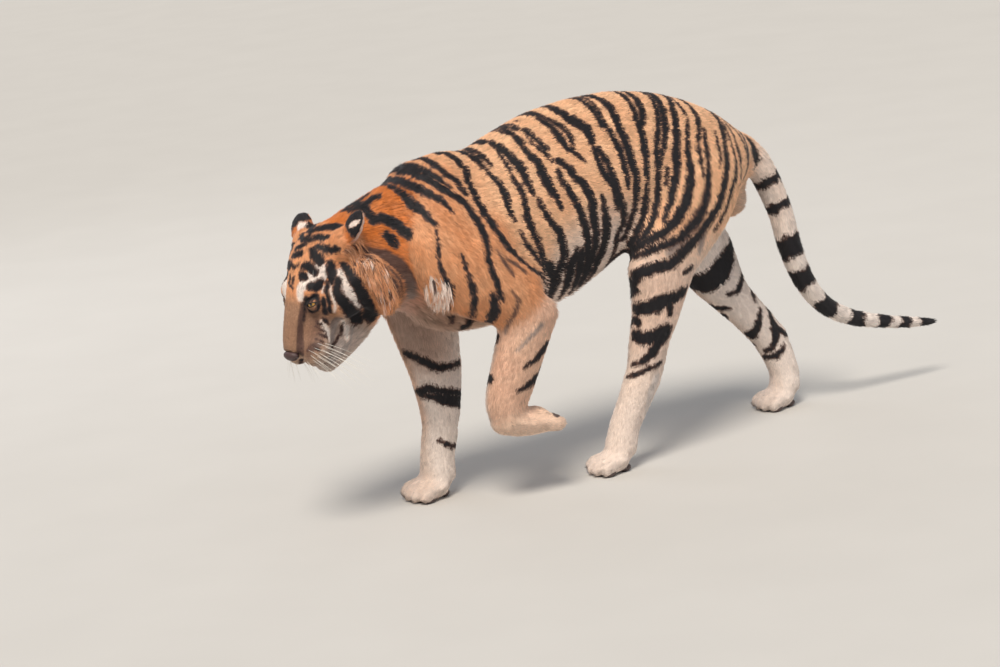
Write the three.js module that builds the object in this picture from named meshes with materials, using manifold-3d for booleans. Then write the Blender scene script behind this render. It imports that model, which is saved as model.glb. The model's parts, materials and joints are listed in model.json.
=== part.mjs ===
// A life-size adult tiger in a slow walk: head low, back arched, left fore paw lifted.
// Millimetres. +Z is up, the animal faces -Y and its left side is +X.
// Each sub-part is a closed solid out to the tips of its coat. A part gives way to the parts made
// before it by a hair's gap, so neighbours meet along the other's surface without overlapping.
import * as THREE from "three";
import { ParametricGeometry } from "three/addons/geometries/ParametricGeometry.js";
import { mergeVertices } from "three/addons/utils/BufferGeometryUtils.js";
import Module from "manifold-3d";

const wasm = await Module();
wasm.setup();

// ---- driving dimensions ----
const GAP = 0.35; // between neighbouring parts
const LEFT = new THREE.Vector3(1, 0, 0);
const UP = new THREE.Vector3(0, 0, 1);
const CAP_ROWS = 2; // rings that round off each end of a swept form

// The head hangs nose down, turned a little to the animal's left.
const HEAD_SCALE = 1.055;
const HEAD_PITCH = THREE.MathUtils.degToRad(52.5);
const HEAD_YAW = THREE.MathUtils.degToRad(8.5);
const HEAD_ROLL = THREE.MathUtils.degToRad(-4);
const BETWEEN_EYES = new THREE.Vector3(19, -358, 557);
const EYE_RADIUS = 17;
const EAR = { base: { left: [90, -154, 35], right: [-79, -142, 37] }, length: 68, width: 68, depth: 34 };

// The trunk, as [y, top, bottom, half width].
const TRUNK = [
  [-60, 834, 455, 108],
  [20, 856, 415, 140],
  [110, 838, 405, 158],
  [220, 866, 417, 168],
  [340, 906, 460, 174],
  [460, 918, 508, 168],
  [570, 908, 538, 152],
  [670, 876, 556, 138],
  [760, 833, 570, 126],
  [840, 776, 592, 98],
];
// The neck, as [x, y, z, half width, half depth].
const NECK = [
  [0, -40, 650, 130, 156],
  [2, -110, 644, 122, 156],
  [6, -170, 638, 112, 142],
  [10, -232, 638, 102, 124],
  [14, -285, 634, 92, 106],
];
// The middle line of each length of a leg, as [x, y, z, half width, half depth], from the top down.
const FORE = {
  left: {
    arm: [
      [54, 0, 798, 38, 58],
      [98, -18, 700, 52, 104],
      [134, -44, 612, 60, 108],
      [146, 40, 540, 60, 98],
      [150, 138, 484, 56, 78],
    ],
    shoulder: [140, -74, 604],
    triceps: [114, 62, 622],
    forearm: [
      [150, 150, 466, 56, 78],
      [148, 124, 400, 54, 70],
      [142, 96, 330, 51, 64],
      [134, 72, 268, 48, 60],
      [131, 56, 226, 46, 50],
    ],
    pastern: [
      [130, 52, 210, 45, 42],
      [127, 96, 192, 48, 38],
      [124, 140, 182, 52, 33],
    ],
    knuckle: [124, 140, 182],
    tip: [120, 206, 160],
    instep: new THREE.Vector3(0, -0.28, -0.96), // the lifted paw hangs with its sole turned up
  },
  right: {
    arm: [
      [-56, -10, 806, 38, 58],
      [-98, -24, 700, 52, 104],
      [-128, -32, 610, 58, 112],
      [-136, -10, 530, 60, 108],
      [-134, 6, 462, 56, 99],
    ],
    shoulder: [-138, -72, 590],
    triceps: [-110, 50, 616],
    forearm: [
      [-132, 10, 440, 55, 97],
      [-126, 15, 370, 52, 84],
      [-118, 20, 300, 50, 72],
      [-110, 16, 235, 46, 60],
      [-104, 9, 176, 44, 50],
    ],
    pastern: [
      [-102, 4, 160, 44, 48],
      [-98, -14, 100, 44, 44],
      [-94, -22, 52, 50, 46],
    ],
    knuckle: [-94, -42, 35],
    tip: [-90, -118, 22],
    instep: UP,
  },
};
const HIND = {
  left: {
    thigh: [
      [86, 736, 716, 62, 122],
      [106, 666, 634, 72, 128],
      [126, 578, 552, 66, 115],
      [140, 530, 490, 56, 99],
    ],
    shank: [
      [140, 534, 484, 56, 99],
      [136, 522, 430, 54, 80],
      [128, 508, 365, 50, 64],
      [120, 490, 313, 45, 56],
      [113, 474, 246, 39, 52],
    ],
    heel: [112, 502, 242],
    pastern: [
      [112, 468, 226, 38, 52],
      [103, 440, 168, 37, 45],
      [95, 408, 108, 38, 40],
      [92, 390, 54, 44, 42],
    ],
    knuckle: [92, 366, 34],
    tip: [88, 296, 21],
    instep: UP,
  },
  right: {
    thigh: [
      [-86, 700, 716, 62, 122],
      [-110, 744, 622, 72, 128],
      [-132, 792, 520, 66, 106],
      [-140, 832, 446, 56, 92],
    ],
    shank: [
      [-140, 836, 440, 56, 92],
      [-132, 866, 369, 52, 77],
      [-122, 900, 308, 46, 56],
      [-112, 945, 250, 40, 50],
      [-106, 978, 206, 38, 50],
    ],
    heel: [-104, 1020, 190],
    pastern: [
      [-104, 990, 190, 38, 50],
      [-98, 1010, 136, 37, 45],
      [-92, 1020, 88, 38, 42],
      [-90, 1014, 52, 44, 42],
    ],
    knuckle: [-90, 992, 34],
    tip: [-90, 922, 21],
    instep: UP,
  },
};
const FORE_TOE = { spread: 28, size: [18, 34, 24], knuckle: [58, 46, 36] };
const HIND_TOE = { spread: 25, size: [16, 32, 23], knuckle: [50, 44, 34] };

// The tail, as [x, y, z, radius].
const TAIL = [
  [0, 862, 716, 48],
  [0, 923, 677, 43],
  [2, 963, 606, 38],
  [6, 991, 520, 35],
  [10, 1011, 410, 33],
  [10, 1048, 318, 30],
  [6, 1110, 248, 27],
  [2, 1190, 206, 24],
  [0, 1290, 176, 20],
  [0, 1380, 156, 17],
  [0, 1442, 146, 11],
];

// ---- making solids ----
const v3 = (p) => (p.isVector3 ? p.clone() : new THREE.Vector3(...p));
const station = ([x, y, z, wide, deep]) => ({ at: v3([x, y, z]), wide, deep });

// The closed solid that a geometry bounds, with its faces turned outwards.
function solidOf(geometry) {
  const bare = new THREE.BufferGeometry()
    .setAttribute("position", geometry.getAttribute("position"))
    .setIndex(geometry.index);
  const merged = mergeVertices(bare, 1e-3);
  const faces = [];
  for (let i = 0; i < merged.index.count; i += 3) {
    const [a, b, c] = merged.index.array.subarray(i, i + 3);
    if (a !== b && b !== c && c !== a) faces.push(a, b, c);
  }
  const make = (triVerts) =>
    new wasm.Manifold(
      new wasm.Mesh({
        numProp: 3,
        vertProperties: merged.attributes.position.array,
        triVerts: new Uint32Array(triVerts),
      }),
    );
  const solid = make(faces);
  return solid.volume() > 0 ? solid : make(faces.reverse());
}

// An oval section swept along a smooth line through its stations, with rounded ends.
// `side` is the way the section's width runs.
function swept(stations, { side = LEFT, around = 10, rows = 5, round = 0.7, grow = 0 } = {}) {
  const line = new THREE.CatmullRomCurve3(stations.map((s) => s.at), false, "catmullrom", 0.5);
  const sizes = new THREE.CatmullRomCurve3(
    stations.map((s) => new THREE.Vector3(s.wide + grow, s.deep + grow, 0)),
    false,
    "catmullrom",
    0.5,
  );
  const all = rows + 2 * CAP_ROWS;
  const ring = (v, u, target) => {
    const row = Math.round(v * all);
    const t = THREE.MathUtils.clamp((row - CAP_ROWS) / rows, 0, 1);
    const beyond = row < CAP_ROWS ? row - CAP_ROWS : Math.max(0, row - CAP_ROWS - rows);
    const lean = (Math.abs(beyond) / CAP_ROWS) * (Math.PI / 2);
    const size = sizes.getPoint(t);
    const tangent = line.getTangent(t);
    const across = side.clone().addScaledVector(tangent, -side.dot(tangent)).normalize();
    const down = tangent.clone().cross(across);
    const angle = (u % 1) * 2 * Math.PI;
    const [c, s] = [Math.cos(angle), Math.sin(angle)];
    const reach = Math.sign(beyond) * Math.sin(lean) * (round * Math.min(size.x, size.y) + grow);
    target
      .copy(line.getPoint(t))
      .addScaledVector(tangent, reach)
      .addScaledVector(across, c * size.x * Math.cos(lean))
      .addScaledVector(down, s * size.y * Math.cos(lean));
  };
  return solidOf(new ParametricGeometry((u, v, target) => ring(v, u, target), around, all));
}

// An ellipsoid of the given radii, turned by Euler angles in degrees, in the frame of `place`.
function lump(centre, radii, { turn = [0, 0, 0], place = new THREE.Matrix4(), detail = 10, grow = 0 } = {}) {
  const [x, y, z] = turn.map(THREE.MathUtils.degToRad);
  const stretch = new THREE.Vector3(...radii).addScalar(grow);
  const own = new THREE.Matrix4().compose(
    v3(centre),
    new THREE.Quaternion().setFromEuler(new THREE.Euler(x, y, z)),
    stretch,
  );
  const ball = new THREE.SphereGeometry(1, detail, Math.round(detail * 0.7));
  return solidOf(ball.applyMatrix4(own.premultiply(place)));
}

const joined = (solids) => solids.reduce((all, next) => all.add(next));

// Everything below the floor, which leaves a small flat under each foot that reaches it.
const floorBlock = solidOf(new THREE.BoxGeometry(6000, 6000, 400).translate(0, 0, -200));

// ---- the trunk, the neck and the tail ----
const trunk = (grow) => [
  swept(
    TRUNK.map(([y, top, bottom, wide]) => station([0, y, (top + bottom) / 2, wide, (top - bottom) / 2])),
    { around: 16, rows: 11, round: 0.6, grow },
  ),
  lump([0, 850, 668], [62, 62, 66], { detail: 9, grow }), // under the root of the tail
  lump([0, 842, 572], [34, 40, 42], { detail: 8, grow }), // scrotum
];

const neck = (grow) => [swept(NECK.map(station), { around: 14, rows: 4, grow })];

const tailLength = (first, last) => (grow) => [
  swept(
    TAIL.slice(first, last + 1).map(([x, y, z, radius]) => station([x, y, z, radius, radius])),
    { around: 8, rows: 2 * (last - first) - 1, round: 1, grow },
  ),
];

// ---- the head ----
// Head coordinates are left, towards the nose, and out of the crown, from between the eyes.
const headFrame = new THREE.Matrix4()
  .makeRotationZ(HEAD_YAW)
  .multiply(new THREE.Matrix4().makeRotationX(HEAD_PITCH))
  .multiply(new THREE.Matrix4().makeRotationY(HEAD_ROLL))
  .multiply(new THREE.Matrix4().makeScale(HEAD_SCALE, -HEAD_SCALE, HEAD_SCALE))
  .setPosition(BETWEEN_EYES);
const headLeft = LEFT.clone().transformDirection(headFrame);
const headLump = (centre, radii, options) => lump(centre, radii, { place: headFrame, ...options });
const headSweep = (stations, options) =>
  swept(
    stations.map(([a, d, wide, deep]) => ({
      at: v3([0, a, d]).applyMatrix4(headFrame),
      wide: wide * HEAD_SCALE,
      deep: deep * HEAD_SCALE,
    })),
    { side: headLeft, ...options },
  );
const bothSides = (make) => [make(1), make(-1)].flat();

const eye = (side) => (grow) => [
  headLump([side * 48, 3, 21], [EYE_RADIUS, EYE_RADIUS, EYE_RADIUS], { grow, detail: 8 }),
];

const nose = (grow) => [headLump([0, 124, -6], [26, 13, 18], { turn: [-20, 0, 0], detail: 8, grow })];

const head = (grow) => [
  headLump([0, -96, 0], [92, 106, 88], { detail: 12, grow }), // cranium
  headSweep(
    [
      [-70, 46, 58, 38],
      [-20, 34, 44, 36],
      [40, 18, 33, 32],
      [84, 6, 29, 26],
      [112, -3, 26, 18],
    ],
    { around: 10, rows: 6, round: 0.5, grow },
  ), // forehead and bridge of the nose
  headSweep(
    [
      [-40, -22, 80, 60],
      [20, -26, 64, 48],
      [66, -34, 52, 40],
      [98, -38, 44, 34],
    ],
    { around: 12, rows: 4, round: 0.5, grow },
  ), // face and upper jaw
  ...bothSides((s) => [
    headLump([s * 66, -62, -26], [48, 82, 60], { detail: 9, grow }), // cheek
    headLump([s * 84, -94, -78], [46, 62, 92], { turn: [12, s * 12, 0], detail: 9, grow }), // ruff
    headLump([s * 70, -134, 26], [38, 46, 40], { detail: 8, grow }), // root of the ear
    headLump([s * 40, -24, 40], [28, 34, 24], { turn: [0, s * 18, 0], detail: 8, grow }), // brow
    headLump([s * 30, 86, -40], [32, 42, 34], { detail: 9, grow }), // whisker pad
  ]),
];

const jaw = (grow) => [
  headSweep(
    [
      [-84, -92, 84, 72],
      [-20, -96, 70, 64],
      [40, -94, 54, 50],
      [90, -90, 36, 35],
    ],
    { around: 10, rows: 4, round: 0.8, grow },
  ),
];

// A rounded cup that is laid back, with its opening turned to the rear and its back to the front.
const ear = (side) => (grow) => {
  const up = new THREE.Vector3(side * 0.58, -0.79, 0.2).normalize();
  const back = new THREE.Vector3(side * -0.12, 0.16, 0.98);
  back.addScaledVector(up, -back.dot(up)).normalize();
  const across = up.clone().cross(back);
  const cup = new THREE.Matrix4().makeBasis(across, up, back).setPosition(...(side > 0 ? EAR.base.left : EAR.base.right)).premultiply(headFrame);
  const [wide, long, deep] = [EAR.width / 2, EAR.length * 0.62, EAR.depth / 2];
  const shell = lump([0, long * 0.62, 0], [wide, long, deep], { place: cup, detail: 10, grow });
  const hollow = lump([0, long * 0.72, -deep * 0.8], [wide - 7, long - 9, deep + 4], { place: cup, detail: 8 });
  return [grow ? shell : shell.subtract(hollow)];
};

// ---- the legs ----
// Four toes in a row, ahead of the knuckle and turned the way the instep faces.
function toes({ knuckle, tip, instep }, shape, grow) {
  const forward = v3(tip).sub(v3(knuckle));
  const reach = forward.length();
  forward.normalize();
  const across = forward.clone().cross(instep).normalize();
  const place = new THREE.Matrix4().makeBasis(across, forward, instep).setPosition(...knuckle);
  const ball = lump([0, 0, -4], shape.knuckle, { place, detail: 8, grow });
  const four = [-1.5, -0.5, 0.5, 1.5].map((n) =>
    lump([n * shape.spread, reach * 0.6 - 9 * Math.abs(n), -5], shape.size, {
      turn: [-8, 0, -7 * n],
      place,
      detail: 7,
      grow,
    }),
  );
  return [ball, ...four];
}

const upperArm = (side) => (grow) => [
  swept(FORE[side].arm.map(station), { rows: 7, grow }),
  lump(FORE[side].shoulder, [50, 60, 76], { detail: 8, grow }), // point of the shoulder
  lump(FORE[side].triceps, [56, 116, 104], { detail: 9, grow }),
];
const forearm = (side) => (grow) => [swept(FORE[side].forearm.map(station), { rows: 4, grow })];
const forePaw = (side) => (grow) => [
  swept(FORE[side].pastern.map(station), { around: 9, rows: 2, grow }),
  ...toes(FORE[side], FORE_TOE, grow),
];
const thigh = (side) => (grow) => [swept(HIND[side].thigh.map(station), { rows: 6, grow })];
const shank = (side) => (grow) => [
  swept(HIND[side].shank.map(station), { rows: 4, grow }),
  lump(HIND[side].heel, [24, 26, 34], { turn: [20, 0, 0], detail: 8, grow }),
];
const hindPaw = (side) => (grow) => [
  swept(HIND[side].pastern.map(station), { around: 9, rows: 3, grow }),
  ...toes(HIND[side], HIND_TOE, grow),
];

// ---- the parts, in the order in which each gives way to those before it ----
const FUR_ORANGE = { color: 0xc8803f, roughness: 0.85, metalness: 0 };
const FUR_PALE = { color: 0xd9c3a3, roughness: 0.85, metalness: 0 };
const FUR_DARK = { color: 0x2a211c, roughness: 0.85, metalness: 0 };
const EYE = { color: 0x8a6a2c, roughness: 0.1, metalness: 0 };
const NOSE = { color: 0x9b6257, roughness: 0.5, metalness: 0 };
const parts = [
  ["eye_left", eye(1), EYE],
  ["eye_right", eye(-1), EYE],
  ["nose", nose, NOSE],
  ["trunk", trunk, FUR_ORANGE],
  ["neck", neck, FUR_ORANGE],
  ["head", head, FUR_ORANGE],
  ["lower_jaw", jaw, FUR_PALE],
  ["ear_left", ear(1), FUR_DARK],
  ["ear_right", ear(-1), FUR_DARK],
  ...["left", "right"].flatMap((side) => [
    [`upper_arm_${side}`, upperArm(side), FUR_ORANGE],
    [`forearm_${side}`, forearm(side), FUR_ORANGE],
    [`fore_paw_${side}`, forePaw(side), FUR_PALE],
    [`thigh_${side}`, thigh(side), FUR_ORANGE],
    [`shank_${side}`, shank(side), FUR_ORANGE],
    [`hind_paw_${side}`, hindPaw(side), FUR_PALE],
  ]),
  ["tail_root", tailLength(0, 3), FUR_ORANGE],
  ["tail_middle", tailLength(3, 7), FUR_PALE],
  ["tail_tip", tailLength(7, 10), FUR_DARK],
];

function meet(a, b) {
  const [p, q] = [a.boundingBox(), b.boundingBox()];
  return [0, 1, 2].every((k) => p.min[k] <= q.max[k] && q.min[k] <= p.max[k]);
}

const tiger = new THREE.Group();
const before = [];
for (const [name, make, finish] of parts) {
  let solid = joined(make(0)).subtract(floorBlock);
  for (const neighbour of before) if (meet(solid, neighbour)) solid = solid.subtract(neighbour);
  // Slivers that the neighbours cut off are left out.
  const [main] = solid.decompose().sort((a, b) => b.volume() - a.volume());
  before.push(joined(make(GAP)));
  const cut = main.getMesh();
  const geometry = new THREE.BufferGeometry()
    .setAttribute("position", new THREE.BufferAttribute(new Float32Array(cut.vertProperties), 3))
    .setIndex(new THREE.BufferAttribute(new Uint32Array(cut.triVerts), 1));
  geometry.computeVertexNormals();
  const mesh = new THREE.Mesh(geometry, new THREE.MeshStandardMaterial(finish));
  mesh.name = name;
  tiger.add(mesh);
}

// The origin is on the floor below the middle of the whole animal.
const whole = new THREE.Box3().setFromObject(tiger);
tiger.position.set(-(whole.min.x + whole.max.x) / 2, -(whole.min.y + whole.max.y) / 2, -whole.min.z);

export default tiger;
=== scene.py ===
# A tiger in mid step, life size and still: one skin under a coat of short tufts, with its eyes, nose leather,
# lid rims, whiskers and foot pads as pieces of their own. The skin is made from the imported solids, the head's
# pieces are placed from the boxes of its eyes and nose, and the rest is given in the model's own centimetres.
import json
import math

import bmesh
import bpy
import numpy as np
from mathutils import Matrix, Vector, kdtree
from mathutils.bvhtree import BVHTree

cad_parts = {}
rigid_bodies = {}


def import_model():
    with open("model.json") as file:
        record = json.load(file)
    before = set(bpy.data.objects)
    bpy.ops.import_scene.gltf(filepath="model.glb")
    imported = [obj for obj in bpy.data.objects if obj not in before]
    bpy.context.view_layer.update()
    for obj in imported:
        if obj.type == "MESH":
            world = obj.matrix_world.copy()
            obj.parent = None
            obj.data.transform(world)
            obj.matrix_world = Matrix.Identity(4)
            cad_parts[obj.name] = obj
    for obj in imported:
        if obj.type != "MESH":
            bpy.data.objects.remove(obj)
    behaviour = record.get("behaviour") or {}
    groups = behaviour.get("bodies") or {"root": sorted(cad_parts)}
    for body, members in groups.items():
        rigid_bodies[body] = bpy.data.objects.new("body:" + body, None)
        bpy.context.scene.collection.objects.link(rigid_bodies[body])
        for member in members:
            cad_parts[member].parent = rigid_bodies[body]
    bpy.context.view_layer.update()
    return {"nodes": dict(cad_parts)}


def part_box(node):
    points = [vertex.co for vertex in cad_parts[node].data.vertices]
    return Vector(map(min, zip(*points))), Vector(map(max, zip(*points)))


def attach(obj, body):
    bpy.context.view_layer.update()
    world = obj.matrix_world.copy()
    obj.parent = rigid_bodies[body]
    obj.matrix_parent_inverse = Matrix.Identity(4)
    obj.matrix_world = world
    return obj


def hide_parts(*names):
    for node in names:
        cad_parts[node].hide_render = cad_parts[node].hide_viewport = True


bpy.ops.object.select_all(action="SELECT")
bpy.ops.object.delete()
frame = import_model()
random = np.random.default_rng(41)

CM = 0.01
MM = 0.001
SIGNS = {"left": 1, "right": -1}  # of x, on the tiger's own sides

# ---- sums on rows of numbers --------


def ramp(values, low, high):
    """From nought at low to one at high, with no corner at either end."""
    share = np.clip((values - low) / (high - low), 0, 1)
    return share * share * (3 - 2 * share)


def unit(rows):
    return rows / np.linalg.norm(rows, axis=1)[:, None].clip(1e-6)


def mirrored(places):
    """Places on both sides of the head, all taken to its left."""
    return np.hstack([np.abs(places[:, [0]]), places[:, 1:]])


def to_own_side(places, vector):
    """A vector that is right for the left side, turned for each place to that place's own side."""
    return np.array(vector) * np.stack([np.sign(places[:, 0]), np.ones(len(places)), np.ones(len(places))], 1)


def nearness(points, centre, sizes, fall=1.0):
    """One at the centre, and less the further off, by a size for each direction."""
    return np.exp(-fall * (((points - np.array(centre)) / sizes) ** 2).sum(1))


def lengths_along(line):
    """How far along a line of points each of them is."""
    return np.concatenate([[0], np.cumsum(np.linalg.norm(np.diff(line, axis=0), axis=1))])


def places_on(line, distances):
    """The places on a line of points that are so far along it."""
    return np.stack([np.interp(distances, lengths_along(line), column) for column in line.T], 1)


def along_line(points, line):
    """For each point: how far along the line its nearest place is, how far off, and the heading there."""
    line = np.array(line, float)
    best = np.full(len(points), np.inf)
    place = np.zeros(len(points))
    heading = np.zeros_like(points)
    start = 0.0
    for first, last in zip(line[:-1], line[1:]):
        step = last - first
        length = np.linalg.norm(step)
        share = np.clip((points - first) @ step / length**2, 0, 1)
        gap = np.linalg.norm(points - first - share[:, None] * step, axis=1)
        nearer = gap < best
        best[nearer] = gap[nearer]
        place[nearer] = start + share[nearer] * length
        heading[nearer] = step / length
        start += length
    return place, best, heading


# ---- the head's own directions --------


def middle(node):
    low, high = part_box(node)
    return (low + high) / 2


EYES = {side: middle(f"eye_{side}") for side in SIGNS}
EYE_RADIUS = (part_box("eye_left")[1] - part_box("eye_left")[0]).z / 2
EYE_ON_HEAD = (4.8, 0.3, 2.1)  # the left eye in the head's own centimetres: left, ahead, crown
NOSE_FROM_EYES = (12.1, -2.7)  # ahead and crown, from between the eyes

between_eyes = (EYES["left"] + EYES["right"]) / 2
head_left = (EYES["left"] - EYES["right"]).normalized()
head_scale = (EYES["left"] - EYES["right"]).length / (2 * EYE_ON_HEAD[0] * CM)
towards_nose = middle("nose") - between_eyes
towards_nose = (towards_nose - head_left * towards_nose.dot(head_left)).normalized()
out_of_bridge = towards_nose.cross(head_left)
tilt = math.atan2(NOSE_FROM_EYES[1], NOSE_FROM_EYES[0])
head_ahead = math.cos(tilt) * towards_nose - math.sin(tilt) * out_of_bridge  # along the bridge of the nose
head_crown = math.sin(tilt) * towards_nose + math.cos(tilt) * out_of_bridge  # out of the forehead
head_origin = between_eyes - head_scale * CM * (EYE_ON_HEAD[1] * head_ahead + EYE_ON_HEAD[2] * head_crown)
HEAD_AXES = np.array([head_left, head_ahead, head_crown])


def on_head(left, ahead, crown):
    """A point given in the head's own centimetres: to its left, along the nose, out of the forehead."""
    return head_origin + head_scale * CM * (left * head_left + ahead * head_ahead + crown * head_crown)


def off_head(places):
    """The same for an array of places."""
    return np.array(head_origin) + head_scale * CM * places @ HEAD_AXES


def head_places(points):
    """The same, backwards: points of the model in the head's own centimetres."""
    return (points - np.array(head_origin)) @ HEAD_AXES.T / (head_scale * CM)


# ---- limbs and tail, as [y, z] or [x, y, z] in centimetres --------

LIMBS = {
    "fore": {
        "left": [[-50, 80], [-35, 46.6], [-44.6, 22.6], [-36, 18.2], [-29.5, 16]],
        "right": [[-51, 80], [-49.2, 44], [-49.3, 17.6], [-54.4, 3.5], [-62, 2.2]],
    },
    "hind": {
        "left": [[23.4, 71.6], [3.3, 49], [-2.8, 24.6], [-13.6, 3.4], [-20.6, 2]],
        "right": [[19.8, 71.6], [33, 44.6], [47.7, 20.6], [49, 3.4], [42, 2]],
    },
}
TAIL = [
    [-0.4, 36, 71.6], [-0.4, 42.1, 67.7], [-0.2, 46.1, 60.6], [0.2, 48.9, 52], [0.6, 50.9, 41],
    [0.6, 54.6, 31.8], [0.2, 60.8, 24.8], [-0.2, 68.8, 20.6], [-0.4, 78.8, 17.6], [-0.4, 87.8, 15.6],
    [-0.4, 94.2, 14.6],
]
SPINE = np.array([[-60, 76], [-30, 80], [10, 84], [30, 78], [40, 72]], float)


def foot_of(point, start, step):
    """How far along a step the nearest place to a point is, and the way from there to the point."""
    share = min(max(np.dot(point - start, step) / np.dot(step, step), 0), 1)
    return share, point - start - share * step


def to_other_side(points, limb):
    """Side-view points [y, z] beside one leg, carried over to the same place on the other leg: near a bone
    they turn with it, near the spine they stay."""
    source, target = (np.array(joints, float) for joints in limb)
    moved = []
    for point in np.array(points, float):
        gaps = [np.linalg.norm(foot_of(point, start, end - start)[1])
                for start, end in zip(SPINE[:-1], SPINE[1:])]
        total = 1 / (min(gaps)**2 + 1) ** 2
        place = total * point
        for start, end, other_start, other_end in zip(source[:-1], source[1:], target[:-1], target[1:]):
            share, offset = foot_of(point, start, end - start)
            turn = complex(*(other_end - other_start)) / complex(*(end - start))
            turned = complex(*offset) * turn / abs(turn)
            weight = 1 / (np.dot(offset, offset) + 1) ** 2
            carried = other_start + share * (other_end - other_start) + [turned.real, turned.imag]
            place = place + weight * carried
            total += weight
        moved.append(place / total)
    return moved


# ---- the parts of the body --------

FLESH = [name for name in frame["nodes"] if name not in ("eye_left", "eye_right", "nose")]
PARTS = [name.removesuffix("_left").removesuffix("_right") for name in FLESH]
HEAD_PARTS = ("head", "lower_jaw")
FORE_PARTS = ("upper_arm", "forearm", "fore_paw")
HIND_PARTS = ("thigh", "shank", "hind_paw")
TAIL_PARTS = ("tail_root", "tail_middle", "tail_tip")


def flesh_tree():
    """The flesh solids' faces in one tree, and for each face the number in FLESH of its solid."""
    points, faces, owners = [], [], []
    for number, name in enumerate(FLESH):
        mesh = frame["nodes"][name].data
        base = len(points)
        points += [vertex.co.copy() for vertex in mesh.vertices]
        faces += [[base + index for index in polygon.vertices] for polygon in mesh.polygons]
        owners += [number] * len(mesh.polygons)
    return BVHTree.FromPolygons(points, faces), np.array(owners)


solid_tree, solid_owner = flesh_tree()


def regions_of(points):
    """The number in FLESH of the solid nearest to each point."""
    return solid_owner[[solid_tree.find_nearest(Vector(point))[2] for point in points]]


def by_region(regions, default, values):
    """One number for each point, from the name of its part without its side."""
    return np.array([values.get(part, default) for part in PARTS])[regions]


def part_is(regions, *names):
    return np.isin(regions, [number for number, part in enumerate(PARTS) if part in names])


# ---- the skin --------

MERGE = 0.01 * MM
GROW = 1.5 * MM  # closes the thin cuts between the solids before they are made one
SKIN_GRAIN = 7.5 * MM
PURSE_AT, PURSE_HALF = (0, 0.36, 0.585), (0.034, 0.032, 0.05)
# how much of the full evening out each part of the skin takes; the parts not named take all of it
SOFTNESS = {"head": 0.10, "lower_jaw": 0.12, "ear": 0.05, "forearm": 0.35, "shank": 0.35, "fore_paw": 0.10,
            "hind_paw": 0.10, "tail_root": 0.5, "tail_middle": 0.4, "tail_tip": 0.25}
EVENING = 50  # rounds
# how long the hair is, in metres
HAIR = 0.014
HAIR_OF = {"ear": 0.006, "neck": 0.020, "forearm": 0.011, "shank": 0.011, "fore_paw": 0.008,
           "hind_paw": 0.008, "thigh": 0.013}
# boxes in the head's centimetres, in which the skin's faces are split in four, and the muzzle's once more
FACE_BOX = (-17, -19, -17), (17, math.inf, 14)
MUZZLE_BOX = (-math.inf, 10.5, -7.5), (math.inf, math.inf, math.inf)
EYE_AREA = 3.2  # how far round the eye they are split once more too


def select_only(piece):
    bpy.ops.object.select_all(action="DESELECT")
    piece.select_set(True)
    bpy.context.view_layer.objects.active = piece


def add_piece(name, data):
    piece = bpy.data.objects.new(name, data)
    bpy.context.scene.collection.objects.link(piece)
    return piece


def on_body(piece, slot, *replaced):
    if replaced:
        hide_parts(*replaced)
    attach(piece, "root")
    return piece


def rows_of(items, what, width, kind=float):
    """One row of numbers for each item of a mesh."""
    flat = np.empty(len(items) * width, kind)
    items.foreach_get(what, flat)
    return flat.reshape(-1, width)


def points_of(mesh):
    return rows_of(mesh.vertices, "co", 3)


def normals_of(mesh):
    return rows_of(mesh.vertex_normals, "vector", 3, np.float32).astype(float)


def set_points(mesh, points):
    mesh.vertices.foreach_set("co", points.ravel())
    mesh.update()


def add_numbers(mesh, name, values):
    attribute = mesh.attributes.new(name, "FLOAT", "POINT")
    attribute.data.foreach_set("value", np.asarray(values, np.float32))


class Net:
    """Which points of a mesh are joined, for evening out values over its surface."""

    def __init__(self, mesh):
        ends = rows_of(mesh.edges, "vertices", 2, np.int32)
        self.start, self.end = ends.T
        self.count = len(mesh.vertices)
        self.degree = np.bincount(ends.ravel(), minlength=self.count).clip(1)

    def mean(self, values):
        """The mean of each point's neighbours."""
        columns = values.reshape(self.count, -1)
        total = np.empty_like(columns)
        for index, column in enumerate(columns.T):
            total[:, index] = np.bincount(self.start, column[self.end], self.count)
            total[:, index] += np.bincount(self.end, column[self.start], self.count)
        return (total / self.degree[:, None]).reshape(values.shape)

    def even(self, values, times, weight=1.0):
        weight = np.broadcast_to(weight, self.count)
        if values.ndim > 1:
            weight = weight[:, None]
        for _ in range(times):
            values = values + weight * 0.8 * (self.mean(values) - values)
        return values


def joined_flesh():
    """The flesh solids and the purse as one closed, even mesh."""
    work = bmesh.new()
    for name in FLESH:
        work.from_mesh(frame["nodes"][name].data)
    bmesh.ops.remove_doubles(work, verts=work.verts, dist=MERGE)
    work.normal_update()
    for vertex in work.verts:
        vertex.co += vertex.normal * GROW
    purse = Matrix.Translation(PURSE_AT) @ Matrix.Diagonal((*PURSE_HALF, 1))
    bmesh.ops.create_icosphere(work, subdivisions=3, radius=1, matrix=purse)
    mesh = bpy.data.meshes.new("skin")
    work.to_mesh(mesh)
    work.free()
    piece = add_piece("skin", mesh)
    select_only(piece)
    mesh.remesh_voxel_size = SKIN_GRAIN
    bpy.ops.object.voxel_remesh()
    return piece


def coat_depth(length):
    """How far the skin lies inside the solids, so that hair of this length ends where they do."""
    return 1 * MM + 0.28 * length


def refine(mesh, chosen):
    """Splits each chosen face in four."""
    work = bmesh.new()
    work.from_mesh(mesh)
    work.faces.ensure_lookup_table()
    edges = {edge for index in np.nonzero(chosen)[0] for edge in work.faces[index].edges}
    bmesh.ops.subdivide_edges(work, edges=list(edges), cuts=1, use_grid_fill=True, smooth=0.6)
    bmesh.ops.triangulate(work, faces=[face for face in work.faces if len(face.verts) > 4])
    work.to_mesh(mesh)
    work.free()


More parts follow.
